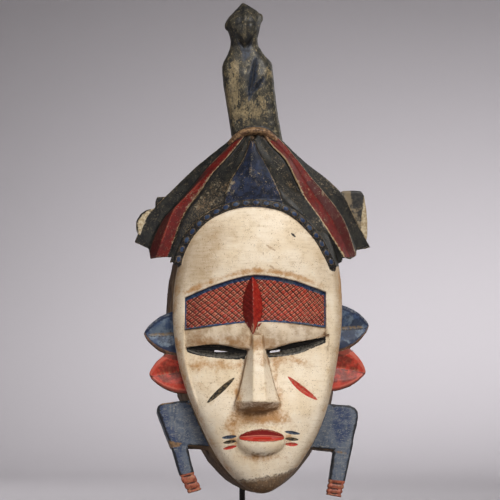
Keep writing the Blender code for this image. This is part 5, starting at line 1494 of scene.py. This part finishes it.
def painted_wood():
    s = Shader("aged_paint_on_wood")
    fine = s.noise(0.9, 3, 0.6)
    small = s.noise(2.2, 4, 0.6, shift=3.1)
    mid = s.noise(6.0, 4, 0.6, shift=7.7)
    large = s.noise(24.0, 3, 0.55, shift=11.3)
    streak = s.noise((16.0, 9.0, 1.5), 3, 0.6, shift=5.0)  # brush marks, side to side
    drawn = s.noise((1.3, 1.6, 17.0), 4, 0.6, shift=2.0)  # wood grain, up and down
    specks = s.noise(1.15, 2, 0.5, shift=19.0)
    wob = s.math("SUBTRACT", s.noise(1.6, 3, 0.6, shift=23.0), 0.5)
    slow = s.math("SUBTRACT", s.noise(5.0, 2, 0.5, shift=29.0), 0.5)

    cavity, hollow_ = s.held("cavity"), s.held("hollow")

    def over(name, ragged=0.5, soft=0.16, off=0.0):
        """How surely a point lies inside a painted area whose edge the brush left uneven."""
        d = s.sum(s.held(name), s.times(wob, ragged * 2), s.times(slow, ragged), off)
        return s.ramp(d, -soft, soft)

    # ---- pale ground
    patchy = s.noise(11.0, 5, 0.62, shift=61.0)
    cream = s.mix(s.ramp(large, 0.35, 0.65), tint(240, 225, 200), tint(232, 213, 182))
    cream = s.mix(s.times(s.ramp(patchy, 0.50, 0.66), 0.40), cream, tint(214, 191, 153))
    cream = s.mix(s.times(s.ramp(patchy, 0.44, 0.30), 0.40), cream, tint(244, 234, 214))
    cream = s.mix(s.times(s.ramp(streak, 0.54, 0.72), 0.30), cream, tint(211, 187, 148))
    cream = s.mix(s.times(s.ramp(small, 0.60, 0.76), 0.30), cream, tint(203, 178, 136))
    edge = s.held("edge")
    # painted shade: the cream greys towards the face's edge, over the side bevels
    side = s.times(s.ramp(edge, 9.0, 1.5), 0.62)
    cream = s.mix(s.times(side, s.ramp(mid, 0.20, 0.55)), cream, tint(186, 171, 150))
    # painted shade over the forehead's left side and along the face's upper and right edges
    painted_shade = s.times(s.ramp(s.sum(s.held("painted_shade"), s.times(s.math("SUBTRACT", patchy, 0.5), 0.7), s.times(s.math("SUBTRACT", streak, 0.5), 0.8)), -0.10, 1.35), 0.78)
    cream = s.mix(painted_shade, cream, tint(172, 144, 108))
    ochre = s.ramp(s.sum(s.held("ochre"), s.times(s.math("SUBTRACT", small, 0.5), 0.9), s.times(s.math("SUBTRACT", patchy, 0.5), 1.5)), 0.22, 1.0)
    cream = s.mix(s.times(ochre, 0.90), cream, tint(182, 130, 70))
    # grime with painted shade under the nose, along the lids' lower edge and at the face's rim
    dirt_and_shade = s.ramp(s.sum(s.held("dirt_and_shade"), s.times(s.math("SUBTRACT", small, 0.5), 1.0), s.times(s.math("SUBTRACT", patchy, 0.5), 1.3)), 0.35, 0.95)
    cream = s.mix(s.times(dirt_and_shade, 0.85), cream, tint(110, 78, 46))
    cream = s.mix(s.times(s.ramp(specks, 0.62, 0.71), s.ramp(patchy, 0.34, 0.56), 0.72), cream, tint(146, 110, 68))
    crack = s.math("ABSOLUTE", s.math("SUBTRACT", s.noise((7.0, 7.0, 3.4), 4, 0.6, warp=1.5, shift=91.0), 0.5))
    cream = s.mix(s.times(s.ramp(crack, 0.010, 0.002), s.ramp(patchy, 0.46, 0.62), s.ramp(small, 0.44, 0.58), 0.55), cream, tint(128, 98, 66))
    cream = s.mix(s.times(s.ramp(s.noise(0.8, 1, 0.5, shift=67.0), 0.715, 0.745), 0.8), cream, tint(84, 60, 40))
    chin_d = s.sum(s.held("chin"), s.times(wob, 3.0), s.times(slow, 5.0))
    chin = s.times(s.ramp(chin_d, -1.8, 2.6), 0.90)
    brown = s.mix(s.ramp(drawn, 0.35, 0.65), tint(84, 58, 36), tint(124, 90, 56))
    brown = s.mix(s.times(s.ramp(small, 0.55, 0.68), 0.75), brown, tint(176, 152, 118))
    brown = s.mix(s.times(s.ramp(patchy, 0.52, 0.66), 0.5), brown, tint(58, 42, 30))
    chin_rim = s.times(s.ramp(s.math("ABSOLUTE", chin_d), 1.5, 0.2), s.ramp(small, 0.38, 0.58))
    cream = s.mix(chin, cream, brown)
    cream = s.mix(s.times(chin_rim, 0.75), cream, tint(60, 42, 30))
    # grime and painted shade in the grooves and hollows, from how the surface bends
    dirt_and_shade_in_grooves = s.ramp(s.sum(cavity, s.times(wob, 0.12)), 0.05, 0.26)
    cream = s.mix(s.times(dirt_and_shade_in_grooves, 0.80), cream, tint(122, 88, 54))
    # painted shade on the lids under the brow band, patchy
    cream = s.mix(s.times(over("lid", 0.5, 1.2), s.ramp(patchy, 0.40, 0.64, 0.30, 0.60)), cream, tint(134, 102, 70))
    cream = s.mix(s.times(over("faint", 0.6, 0.5), 0.55), cream, tint(150, 110, 70))
    cream = s.mix(over("stroke", 0.3), cream, tint(52, 42, 36))
    colour = cream

    # ---- bare wood
    wood = s.mix(s.ramp(drawn, 0.3, 0.7), tint(70, 50, 34), tint(122, 92, 62))
    wood = s.mix(s.times(s.ramp(mid, 0.4, 0.65), 0.7), wood, tint(58, 42, 30))
    wood = s.mix(s.times(s.ramp(large, 0.45, 0.6), 0.40), wood, tint(146, 118, 84))
    tanwood = s.mix(s.ramp(drawn, 0.35, 0.65), tint(168, 134, 84), tint(204, 174, 124))

    # ---- crest figure
    flakes = s.noise((2.6, 3.0, 4.2), 5, 0.68, shift=41.0)
    chipped = s.noise((1.5, 1.8, 2.2), 5, 0.72, shift=83.0)
    paint = s.mix(s.ramp(mid, 0.36, 0.62), tint(37, 36, 32), tint(68, 63, 50))
    paint = s.mix(s.times(s.ramp(flakes, 0.55, 0.63), 0.62), paint, tint(128, 120, 96))
    paint = s.mix(s.times(s.ramp(chipped, 0.57, 0.63), s.ramp(mid, 0.36, 0.56), 0.80), paint, tint(158, 140, 104))
    paint = s.mix(s.times(s.ramp(small, 0.56, 0.66), 0.85), paint, tint(26, 28, 34))
    worn = s.ramp(s.sum(s.held("bare"), s.times(s.math("SUBTRACT", mid, 0.5), 1.4), s.times(s.math("SUBTRACT", drawn, 0.5), 1.1), s.times(s.math("SUBTRACT", small, 0.5), 0.9), s.times(cavity, -0.5), s.times(s.math("SUBTRACT", chipped, 0.5), 1.2)), 0.38, 0.66)
    paint = s.mix(s.times(worn, s.ramp(chipped, 0.36, 0.52, 0.25, 1.0), s.ramp(patchy, 0.34, 0.56, 0.45, 1.0), 0.72), paint, s.mix(s.ramp(small, 0.4, 0.6), tint(158, 140, 104), tint(126, 110, 80)))
    paint = s.mix(s.times(over("crest_blue", 2.2, 1.5), s.ramp(mid, 0.26, 0.46, 0.5, 1.0)), paint, s.mix(s.ramp(small, 0.4, 0.6), tint(22, 26, 36), tint(44, 52, 66)))
    paint = s.mix(s.times(s.ramp(s.sum(s.held("head"), s.times(slow, 6.0)), 0.0, 5.0), s.ramp(mid, 0.34, 0.60, 0.72, 0.30)), paint, tint(26, 27, 29))
    # near black in the crest's grooves: grime and painted shade
    paint = s.mix(s.times(dirt_and_shade_in_grooves, 0.85), paint, tint(20, 20, 22))
    paint = s.mix(s.times(s.ramp(s.sum(s.times(cavity, -1.0), s.times(wob, 0.25)), 0.20, 0.38), s.ramp(small, 0.42, 0.58), 0.40), paint, tint(140, 126, 98))
    colour = s.mix(over("crest", 0.3), colour, paint)

    # ---- side blocks
    slate = s.mix(s.ramp(patchy, 0.38, 0.62), tint(62, 74, 94), tint(98, 106, 118))
    slate = s.mix(s.times(s.ramp(drawn, 0.54, 0.68), 0.45), slate, tint(130, 130, 128))
    slate = s.mix(s.times(over("board_navy", 3.0, 2.6), s.ramp(mid, 0.30, 0.54), 0.72), slate, tint(38, 54, 92))
    scratch = s.math("ABSOLUTE", s.math("SUBTRACT", s.noise((9.0, 9.0, 2.2), 3, 0.6, warp=1.2, shift=71.0), 0.5))
    slate = s.mix(s.times(s.ramp(scratch, 0.024, 0.006), s.ramp(small, 0.36, 0.56), 0.70), slate, tint(160, 158, 148))
    slate = s.mix(s.times(s.ramp(small, 0.62, 0.74), 0.6), slate, tint(128, 120, 102))
    # near black in the side blocks' grooves: grime and painted shade
    slate = s.mix(s.times(dirt_and_shade_in_grooves, 0.7), slate, tint(26, 25, 26))
    slate = s.mix(s.times(s.ramp(s.sum(s.times(cavity, -1.0), s.times(wob, 0.12)), 0.07, 0.18), 0.9), slate, tint(28, 27, 28))
    slate = s.mix(s.times(over("board_tan", 1.0, 0.5), 0.85), slate, s.mix(s.ramp(small, 0.4, 0.6), tint(150, 116, 76), tint(112, 88, 62)))
    ring = s.mix(s.ramp(small, 0.42, 0.62), tint(168, 92, 68), tint(124, 64, 46))
    ring = s.mix(s.ramp(mid, 0.5, 0.66), ring, tint(164, 116, 82))
    # painted shade in the grooves between the rings
    ring = s.mix(s.ramp(s.sum(cavity, s.times(wob, 0.1)), 0.02, 0.14), ring, tint(62, 32, 24))
    slate = s.mix(over("ring", 0.3), slate, ring)
    colour = s.mix(over("board", 0.3), colour, slate)

    # ---- ears
    blue = s.mix(s.ramp(mid, 0.38, 0.62), tint(58, 76, 106), tint(102, 116, 130))
    blue = s.mix(s.times(s.ramp(patchy, 0.48, 0.58), 0.80), blue, tint(34, 44, 66))
    blue = s.mix(s.times(s.ramp(small, 0.56, 0.68), 0.6), blue, tint(30, 38, 56))
    blue = s.mix(s.times(over("ear_valley", 1.0, 0.8), s.ramp(small, 0.36, 0.58), 0.75), blue, tint(138, 114, 78))
    blue = s.mix(s.times(over("ear_line", 0.5, 0.3), 0.9), blue, tint(26, 26, 30))
    blue = s.mix(s.times(over("ear_rim", 1.2, 0.7), s.ramp(mid, 0.30, 0.48), 0.92), blue, tint(22, 34, 62))
    blue = s.mix(s.times(s.ramp(s.sum(s.times(cavity, -1.0), s.times(wob, 0.2)), 0.12, 0.28), s.ramp(small, 0.42, 0.6), 0.5), blue, tint(138, 140, 138))
    blue = s.mix(s.times(over("ear_under", 1.0, 0.6), 0.85), blue, s.mix(s.ramp(small, 0.4, 0.6), tint(120, 84, 52), tint(70, 50, 36)))
    colour = s.mix(over("ear_blue", 0.3), colour, blue)
    coral = s.mix(s.ramp(mid, 0.36, 0.64), tint(196, 68, 50), tint(172, 52, 38))
    coral = s.mix(s.times(s.ramp(small, 0.5, 0.68), 0.6), coral, tint(186, 96, 76))
    coral = s.mix(s.times(over("ear_rim", 1.0, 0.6), s.ramp(mid, 0.30, 0.5), 0.6), coral, tint(196, 110, 90))
    coral = s.mix(s.times(over("ear_bowl", 1.2, 0.8), s.ramp(mid, 0.34, 0.60), 0.7), coral, s.mix(s.ramp(small, 0.4, 0.62), tint(88, 40, 30), tint(112, 60, 42)))
    coral = s.mix(s.times(over("ear_valley", 0.8, 0.5), s.ramp(small, 0.46, 0.62), 0.5), coral, tint(150, 104, 72))
    coral = s.mix(s.times(over("ear_line", 0.5, 0.3), 0.7), coral, tint(44, 22, 18))
    coral = s.mix(s.times(over("ear_under", 1.0, 0.6), 0.6), coral, tint(78, 36, 28))
    colour = s.mix(over("ear_red", 0.3), colour, coral)

    # ---- coiffure
    black = s.mix(s.ramp(mid, 0.38, 0.62), tint(20, 20, 20), tint(42, 41, 36))
    black = s.mix(s.times(s.ramp(small, 0.54, 0.7), 0.55), black, tint(60, 55, 46))
    colour = s.mix(over("hair", 0.3), colour, black)
    brick = s.mix(s.ramp(mid, 0.36, 0.64), tint(108, 16, 8), tint(84, 13, 8))
    brick = s.mix(s.times(s.ramp(small, 0.54, 0.7), 0.45), brick, tint(128, 44, 30))
    # painted highlight along the ridge of the left red strip
    brick = s.mix(s.times(over("red_ridge_highlight", 0.8, 0.7), 0.80), brick, tint(150, 62, 48))
    # painted shade on the outer facet of the left red strip and on part of the right one
    brick = s.mix(s.times(over("hair_red_shade", 0.6, 0.4), 0.85), brick, tint(66, 19, 16))
    colour = s.mix(over("hair_red", 0.3), colour, brick)
    navy = s.mix(s.ramp(mid, 0.4, 0.62), tint(22, 28, 42), tint(40, 50, 74))
    navy = s.mix(s.times(s.ramp(small, 0.58, 0.7), 0.4), navy, tint(66, 68, 66))
    colour = s.mix(over("hair_navy", 0.4), colour, navy)
    dragged = s.math("ABSOLUTE", s.math("SUBTRACT", s.noise((5.0, 6.0, 9.0), 4, 0.66, warp=1.0, shift=97.0), 0.5))
    nicks = s.noise((1.3, 1.3, 1.0), 4, 0.72, shift=47.0)
    rubbings = s.noise(3.4, 5, 0.72, shift=53.0)
    worn_hair = s.times(s.held("scuff"), 1.0)
    scuffed = s.most(
        s.ramp(s.sum(nicks, s.times(worn_hair, 0.10), s.times(cavity, -0.30)), 0.655, 0.70),
        s.times(s.ramp(s.sum(rubbings, s.times(worn_hair, 0.16), s.times(cavity, -0.30)), 0.66, 0.74), s.ramp(worn_hair, 0.25, 0.5)),
    )
    on_hair = s.ramp(s.held("hair"), -0.2, 0.4)
    chips = s.mix(s.ramp(mid, 0.4, 0.6), tint(158, 146, 122), tint(122, 98, 70))
    stipple = s.times(over("stipple", 2.5, 2.0), s.ramp(s.noise((1.0, 1.0, 1.6), 3, 0.7, shift=59.0), 0.48, 0.60), 0.48)
    colour = s.mix(stipple, colour, tint(112, 96, 72))
    colour = s.mix(s.times(scuffed, 0.80, on_hair), colour, chips)
    colour = s.mix(s.times(s.ramp(dragged, 0.012, 0.003), s.ramp(small, 0.46, 0.58), s.ramp(patchy, 0.42, 0.56), on_hair, 0.62), colour, tint(150, 132, 102))
    rubbed = s.ramp(s.sum(s.held("pale"), s.times(wob, 0.9), s.times(s.math("SUBTRACT", small, 0.5), 0.9)), 0.04, 0.26)
    gold = s.mix(s.ramp(small, 0.38, 0.62), tint(170, 136, 92), tint(188, 166, 130))
    colour = s.mix(s.times(rubbed, 0.85), colour, gold)
    colour = s.mix(s.times(over("foot", 1.6, 0.5), on_hair, 0.9), colour, s.mix(s.ramp(small, 0.38, 0.62), tint(158, 124, 88), tint(84, 62, 44)))
    # near black in the coiffure's grooves: painted shade with grime
    colour = s.mix(s.times(s.ramp(s.sum(cavity, s.times(wob, 0.1)), 0.06, 0.24), on_hair, 0.80), colour, tint(15, 12, 11))

    # ---- beads
    along_ = s.times(s.math("SUBTRACT", s.math("FRACT", s.held("bead_s")), 0.5), BEAD_GAP)
    across = s.held("bead_t")
    radial = s.math("SQRT", s.sum(s.math("POWER", s.math("DIVIDE", along_, 2.35), 2.0), s.math("POWER", s.math("DIVIDE", across, 1.75), 2.0)))
    radial = s.sum(radial, s.times(wob, 0.8), s.times(slow, 0.5))
    on_band = s.ramp(s.held("bead_on"), 0.0, 0.4)
    beads = s.mix(s.ramp(small, 0.4, 0.6), tint(16, 15, 16), tint(36, 32, 28))
    beads = s.mix(s.times(s.ramp(s.math("ABSOLUTE", s.math("SUBTRACT", s.math("ABSOLUTE", across), 2.45)), 0.35, 0.1), s.ramp(small, 0.44, 0.6), 0.55), beads, tint(124, 102, 72))
    beads = s.mix(s.times(s.ramp(radial, 1.36, 1.20), s.ramp(nicks, 0.40, 0.56), 0.75), beads, s.mix(s.ramp(small, 0.4, 0.6), tint(138, 116, 84), tint(96, 78, 54)))
    beads = s.mix(s.ramp(radial, 1.06, 0.88), beads, s.mix(s.ramp(mid, 0.4, 0.6), tint(30, 48, 80), tint(56, 72, 94)))
    beads = s.mix(s.times(s.ramp(rubbings, 0.56, 0.66), 0.8), beads, tint(26, 24, 26))
    colour = s.mix(on_band, colour, beads)

    # ---- horns
    horn = s.mix(s.ramp(small, 0.4, 0.62), tint(52, 48, 42), tint(30, 29, 28))
    horn = s.mix(s.times(s.ramp(patchy, 0.52, 0.60), 0.8), horn, tint(132, 116, 90))
    horn = s.mix(s.times(over("horn_pale", 1.6, 0.5), 0.92), horn, s.mix(s.ramp(small, 0.4, 0.6), tint(196, 180, 148), tint(158, 138, 104)))
    colour = s.mix(over("horn", 0.3), colour, horn)
    knob = s.mix(s.ramp(small, 0.4, 0.62), tint(200, 186, 156), tint(160, 140, 106))
    knob = s.mix(s.times(s.ramp(patchy, 0.54, 0.62), 0.7), knob, tint(92, 78, 58))
    knob = s.mix(s.ramp(s.sum(s.times(cavity, -1.0), s.times(wob, 0.3)), 0.16, 0.30), knob, tint(32, 29, 26))
    colour = s.mix(over("knob", 0.3), colour, knob)

    # ---- brow band
    outside = s.ramp(s.math("ABSOLUTE", s.sum(s.held("band"), 0.35, s.times(wob, 0.6))), 0.55, 0.15)
    colour = s.mix(s.times(outside, s.ramp(patchy, 0.40, 0.60), 0.65), colour, tint(92, 66, 42))
    band = over("band", 0.2, 0.12)
    fa = s.math("PINGPONG", s.held("hatch_a"), 0.5)
    fb = s.math("PINGPONG", s.held("hatch_b"), 0.5)
    da = s.sum(s.times(fa, HATCH_A * 0.74), s.times(wob, 0.8), s.times(slow, 0.8))
    db = s.sum(s.times(fb, 4.4 * 0.78), s.times(wob, 0.8), s.times(slow, 0.6))
    salmon = s.mix(s.ramp(mid, 0.38, 0.62), tint(176, 54, 38), tint(138, 34, 25))
    salmon = s.mix(s.times(s.ramp(small, 0.50, 0.68), 0.60), salmon, tint(194, 94, 72))
    salmon = s.mix(s.times(s.ramp(s.held("band_dark"), 0.35, 0.95), 0.60), salmon, tint(112, 30, 24))
    salmon = s.mix(s.times(s.ramp(fine, 0.62, 0.74), 0.40), salmon, tint(208, 140, 108))
    salmon = s.mix(s.times(s.ramp(s.math("ABSOLUTE", s.math("SUBTRACT", db, 0.80)), 0.28, 0.08), s.ramp(small, 0.34, 0.52), 0.80), salmon, tint(202, 152, 114))
    salmon = s.mix(s.times(s.ramp(s.math("ABSOLUTE", s.math("SUBTRACT", da, 0.85)), 0.26, 0.08), s.ramp(mid, 0.44, 0.60), 0.70), salmon, tint(204, 152, 114))
    salmon = s.mix(s.times(s.ramp(da, 0.58, 0.24), s.ramp(patchy, 0.30, 0.52, 0.62, 0.95)), salmon, tint(62, 24, 18))
    salmon = s.mix(s.times(s.ramp(db, 0.54, 0.22), s.ramp(small, 0.30, 0.48, 0.55, 0.92)), salmon, tint(72, 28, 20))
    navy_edge = s.most(
        s.ramp(s.sum(s.held("band_up"), s.times(wob, 1.0), s.times(slow, 1.2)), 3.7, 3.0),
        s.ramp(s.sum(s.held("band_down"), s.times(wob, 2.0), s.times(slow, 2.6)), 1.9, 1.4),
        s.times(s.ramp(s.sum(s.held("band_side"), s.times(wob, 1.2), s.times(slow, 1.6)), 1.5, 1.0), 0.9),
    )
    border = s.mix(s.ramp(small, 0.4, 0.62), tint(32, 50, 86), tint(56, 82, 116))
    border = s.mix(s.times(s.ramp(patchy, 0.52, 0.66), 0.60), border, tint(106, 112, 116))
    # painted shade: the border darkest along its top edge, under the forehead's step
    border = s.mix(s.times(s.ramp(s.held("band_up"), 0.9, 0.3), s.ramp(small, 0.36, 0.54), 0.7), border, tint(24, 26, 32))
    salmon = s.mix(navy_edge, salmon, border)
    colour = s.mix(band, colour, salmon)

    # ---- small painted things
    scarlet = s.mix(s.ramp(mid, 0.40, 0.62), tint(148, 28, 20), tint(166, 44, 30))
    scarlet = s.mix(s.times(s.ramp(small, 0.52, 0.68), 0.5), scarlet, tint(176, 66, 50))
    # painted shade: the lozenge darker left of its ridge
    scarlet = s.mix(s.times(s.ramp(s.sum(s.held("facet"), s.times(wob, 0.6)), 0.3, -0.3), 0.75), scarlet, tint(88, 16, 12))
    scarlet = s.mix(s.times(s.ramp(s.held("lozenge"), 0.9, 0.2), 0.7), scarlet, tint(76, 16, 12))
    # painted highlight: the lozenge paler along its ridge and edges
    scarlet = s.mix(s.times(s.ramp(s.sum(s.times(cavity, -1.0), s.times(wob, 0.2)), 0.12, 0.28), s.ramp(small, 0.36, 0.52), 0.75), scarlet, tint(204, 152, 126))
    colour = s.mix(over("lozenge", 0.25), colour, scarlet)
    inked = s.mix(s.ramp(small, 0.4, 0.6), tint(14, 13, 12), tint(34, 31, 27))
    inked = s.mix(s.times(s.ramp(nicks, 0.60, 0.68), 0.5), inked, tint(96, 84, 64))
    colour = s.mix(over("eye", 0.25), colour, inked)
    # painted light: the eyes' upward-facing lower walls in lighter grey
    lit_floor_grey = s.mix(s.ramp(small, 0.4, 0.6), tint(66, 65, 62), tint(116, 112, 102))
    colour = s.mix(s.times(over("eye_floor_lit", 0.3, 0.3), 0.8), colour, lit_floor_grey)
    colour = s.mix(over("ink", 0.3), colour, s.mix(s.ramp(small, 0.45, 0.62), tint(40, 36, 30), tint(112, 96, 70)))
    colour = s.mix(over("ink_blue", 0.3), colour, s.mix(s.ramp(small, 0.45, 0.62), tint(44, 54, 70), tint(96, 106, 116)))
    colour = s.mix(over("mark_red", 0.3), colour, s.mix(s.ramp(small, 0.45, 0.66), tint(190, 54, 44), tint(180, 110, 80)))
    # painted shade on the upper lip above the parting, and a painted highlight along the parting
    lip = s.mix(s.ramp(s.held("lip_shade_and_highlight"), -0.3, 0.5), tint(184, 46, 28), tint(122, 14, 9))
    lip = s.mix(s.times(s.ramp(s.math("ABSOLUTE", s.sum(s.held("lip_shade_and_highlight"), s.times(wob, 0.4))), 0.5, 0.2), 0.8), lip, tint(206, 122, 98))
    lip = s.mix(s.times(s.ramp(small, 0.60, 0.74), 0.4), lip, tint(196, 96, 70))
    lip_rim = s.ramp(s.math("ABSOLUTE", s.sum(s.held("lips"), 0.25, s.times(wob, 0.5))), 0.55, 0.15)
    colour = s.mix(over("lips", 0.25), colour, lip)
    colour = s.mix(s.times(lip_rim, s.ramp(small, 0.40, 0.58), 0.55), colour, tint(92, 58, 38))

    # ---- bare sides and general handling wear
    bare = over("raw", 1.2, 0.5)
    colour = s.mix(bare, colour, wood)
    edge_rub = s.times(s.ramp(s.sum(s.times(cavity, -1.0), s.times(wob, 0.22)), 0.16, 0.34), s.ramp(small, 0.40, 0.58), s.ramp(s.held("edge"), 0.5, 1.5), s.ramp(s.held("hair"), 0.4, -0.2))
    colour = s.mix(s.times(edge_rub, 0.30), colour, tanwood)

    gloss = s.sum(0.34, s.times(small, 0.26), s.times(bare, 0.22), s.times(dirt_and_shade, 0.10), s.times(on_hair, 0.06))
    height = s.sum(s.times(small, 0.5), s.times(fine, 0.25), s.times(streak, 0.18), s.times(rubbed, -0.25), s.times(scuffed, -0.3), s.times(bare, drawn, 0.9))
    rough_normal = s.bump(height, 0.35, strength=0.6)
    s.put(colour, s.bsdf.inputs["Base Color"])
    s.put(gloss, s.bsdf.inputs["Roughness"])
    s.put(rough_normal, s.bsdf.inputs["Normal"])
    s.bsdf.inputs["Specular IOR Level"].default_value = 0.30
    s.bsdf.inputs["Coat Weight"].default_value = 0.06
    s.bsdf.inputs["Coat Roughness"].default_value = 0.22
    return s.mat


def blackened_steel():
    s = Shader("blackened_steel")
    small = s.noise(1.4, 4, 0.6)
    mid = s.noise(9.0, 3, 0.6, shift=4.0)
    base = s.mix(s.ramp(mid, 0.35, 0.65), tint(24, 24, 26), tint(40, 39, 40))
    base = s.mix(s.times(s.ramp(small, 0.62, 0.74), 0.5), base, tint(72, 68, 64))
    s.put(base, s.bsdf.inputs["Base Color"])
    s.put(s.sum(0.38, s.times(small, 0.25)), s.bsdf.inputs["Roughness"])
    s.bsdf.inputs["Metallic"].default_value = 0.55
    s.put(s.bump(s.sum(small, s.times(mid, 0.4)), 0.12, strength=0.5), s.bsdf.inputs["Normal"])
    return s.mat


# ---------------------------------------------------------------- studio
def studio():
    """A pale floor that sweeps up into a round wall, so that no view shows an edge."""
    profile = [(0.0, 0.0), (1.2, 0.0), (2.4, 0.0), (3.4, 0.0)]
    for k in range(1, 13):
        a = math.pi / 2 * k / 12
        profile.append((3.4 + 1.8 * math.sin(a), 1.8 - 1.8 * math.cos(a)))
    profile += [(5.2, 3.2), (5.2, 5.0), (5.2, 7.0)]
    n = 96
    verts = [(r * math.cos(2 * math.pi * i / n), r * math.sin(2 * math.pi * i / n), z) for r, z in profile[1:] for i in range(n)]
    verts.append((0, 0, 0))
    faces = [(len(verts) - 1, i, (i + 1) % n) for i in range(n)]
    for k in range(len(profile) - 2):
        a, b = k * n, (k + 1) * n
        faces += [(a + i, b + i, b + (i + 1) % n, a + (i + 1) % n) for i in range(n)]
    mesh = bpy.data.meshes.new("studio_floor")
    mesh.from_pydata(verts, [], faces)
    mesh.shade_smooth()
    floor = bpy.data.objects.new("studio_floor", mesh)
    bpy.context.scene.collection.objects.link(floor)
    s = Shader("plain_pale")
    s.bsdf.inputs["Base Color"].default_value = tint(186, 182, 184)
    s.bsdf.inputs["Roughness"].default_value = 0.9
    s.bsdf.inputs["Specular IOR Level"].default_value = 0.15
    mesh.materials.append(s.mat)
    return floor


def lamp(name, place, target, size, power, colour=(1, 1, 1), spread=180):
    data = bpy.data.lights.new(name, "AREA")
    data.shape = "RECTANGLE"
    data.size, data.size_y = size
    data.energy = power
    data.color = colour
    data.spread = math.radians(spread)
    obj = bpy.data.objects.new(name, data)
    bpy.context.scene.collection.objects.link(obj)
    obj.location = place
    obj.rotation_euler = (Vector(target) - Vector(place)).to_track_quat("-Z", "Y").to_euler()
    obj.visible_camera = False
    return obj


def lights():
    world = bpy.data.worlds.new("studio_air")
    bpy.context.scene.world = world
    world.use_nodes = True
    back = world.node_tree.nodes["Background"]
    back.inputs["Color"].default_value = (0.95, 0.95, 1.0, 1)
    back.inputs["Strength"].default_value = 0.16
    middle = (0.0, 0.0, 0.28)
    lamp("key", (0.76, -1.9, 1.45), middle, (0.8, 0.8), 39, (1.0, 0.98, 0.955))
    lamp("top", (-0.25, -1.5, 1.9), middle, (0.35, 0.35), 9, (1.0, 0.98, 0.96))
    lamp("fill", (-1.7, -1.5, 0.75), middle, (1.3, 1.3), 8, (0.97, 0.97, 1.0))
    lamp("rim", (1.6, 0.8, 1.0), middle, (0.8, 1.2), 8, (1.0, 0.98, 0.96))
    lamp("wall", (0.95, 1.0, 1.20), (1.05, 4.6, 0.30), (3.0, 0.5), 21.8, (0.98, 0.97, 1.0), 46)
    lamp("floor", (-0.2, 1.5, 1.70), (-0.2, 2.45, 0.0), (2.4, 0.6), 10, (0.98, 0.97, 1.0), 84)


def camera():
    data = bpy.data.cameras.new("photo_camera")
    cam = bpy.data.objects.new("photo_camera", data)
    bpy.context.scene.collection.objects.link(cam)
    cam.location = (-0.1452, -2.0103, 0.1405)
    target = Vector((-0.006, -0.020, 0.280))
    cam.rotation_euler = (target - cam.location).to_track_quat("-Z", "Y").to_euler()
    data.lens = 169.4
    data.sensor_width = 36.0
    data.clip_start, data.clip_end = 0.05, 60
    bpy.context.scene.camera = cam
    return cam


def build():
    bpy.context.scene.view_settings.view_transform = "Standard"
    camera()
    studio()
    lights()
    mask, forms = carved_mask(0.62)
    thinned(mask, 192000)
    painted(mask, forms)
    drop(forms.values())
    mask.data.shade_smooth()
    mask.data.materials.clear()
    mask.data.materials.append(painted_wood())
    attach(mask, "root")
    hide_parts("mask")
    steel = blackened_steel()
    for name in ("stand_foot", "stand_rod"):
        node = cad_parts[name]
        node.data.materials.clear()
        node.data.materials.append(steel)


build()
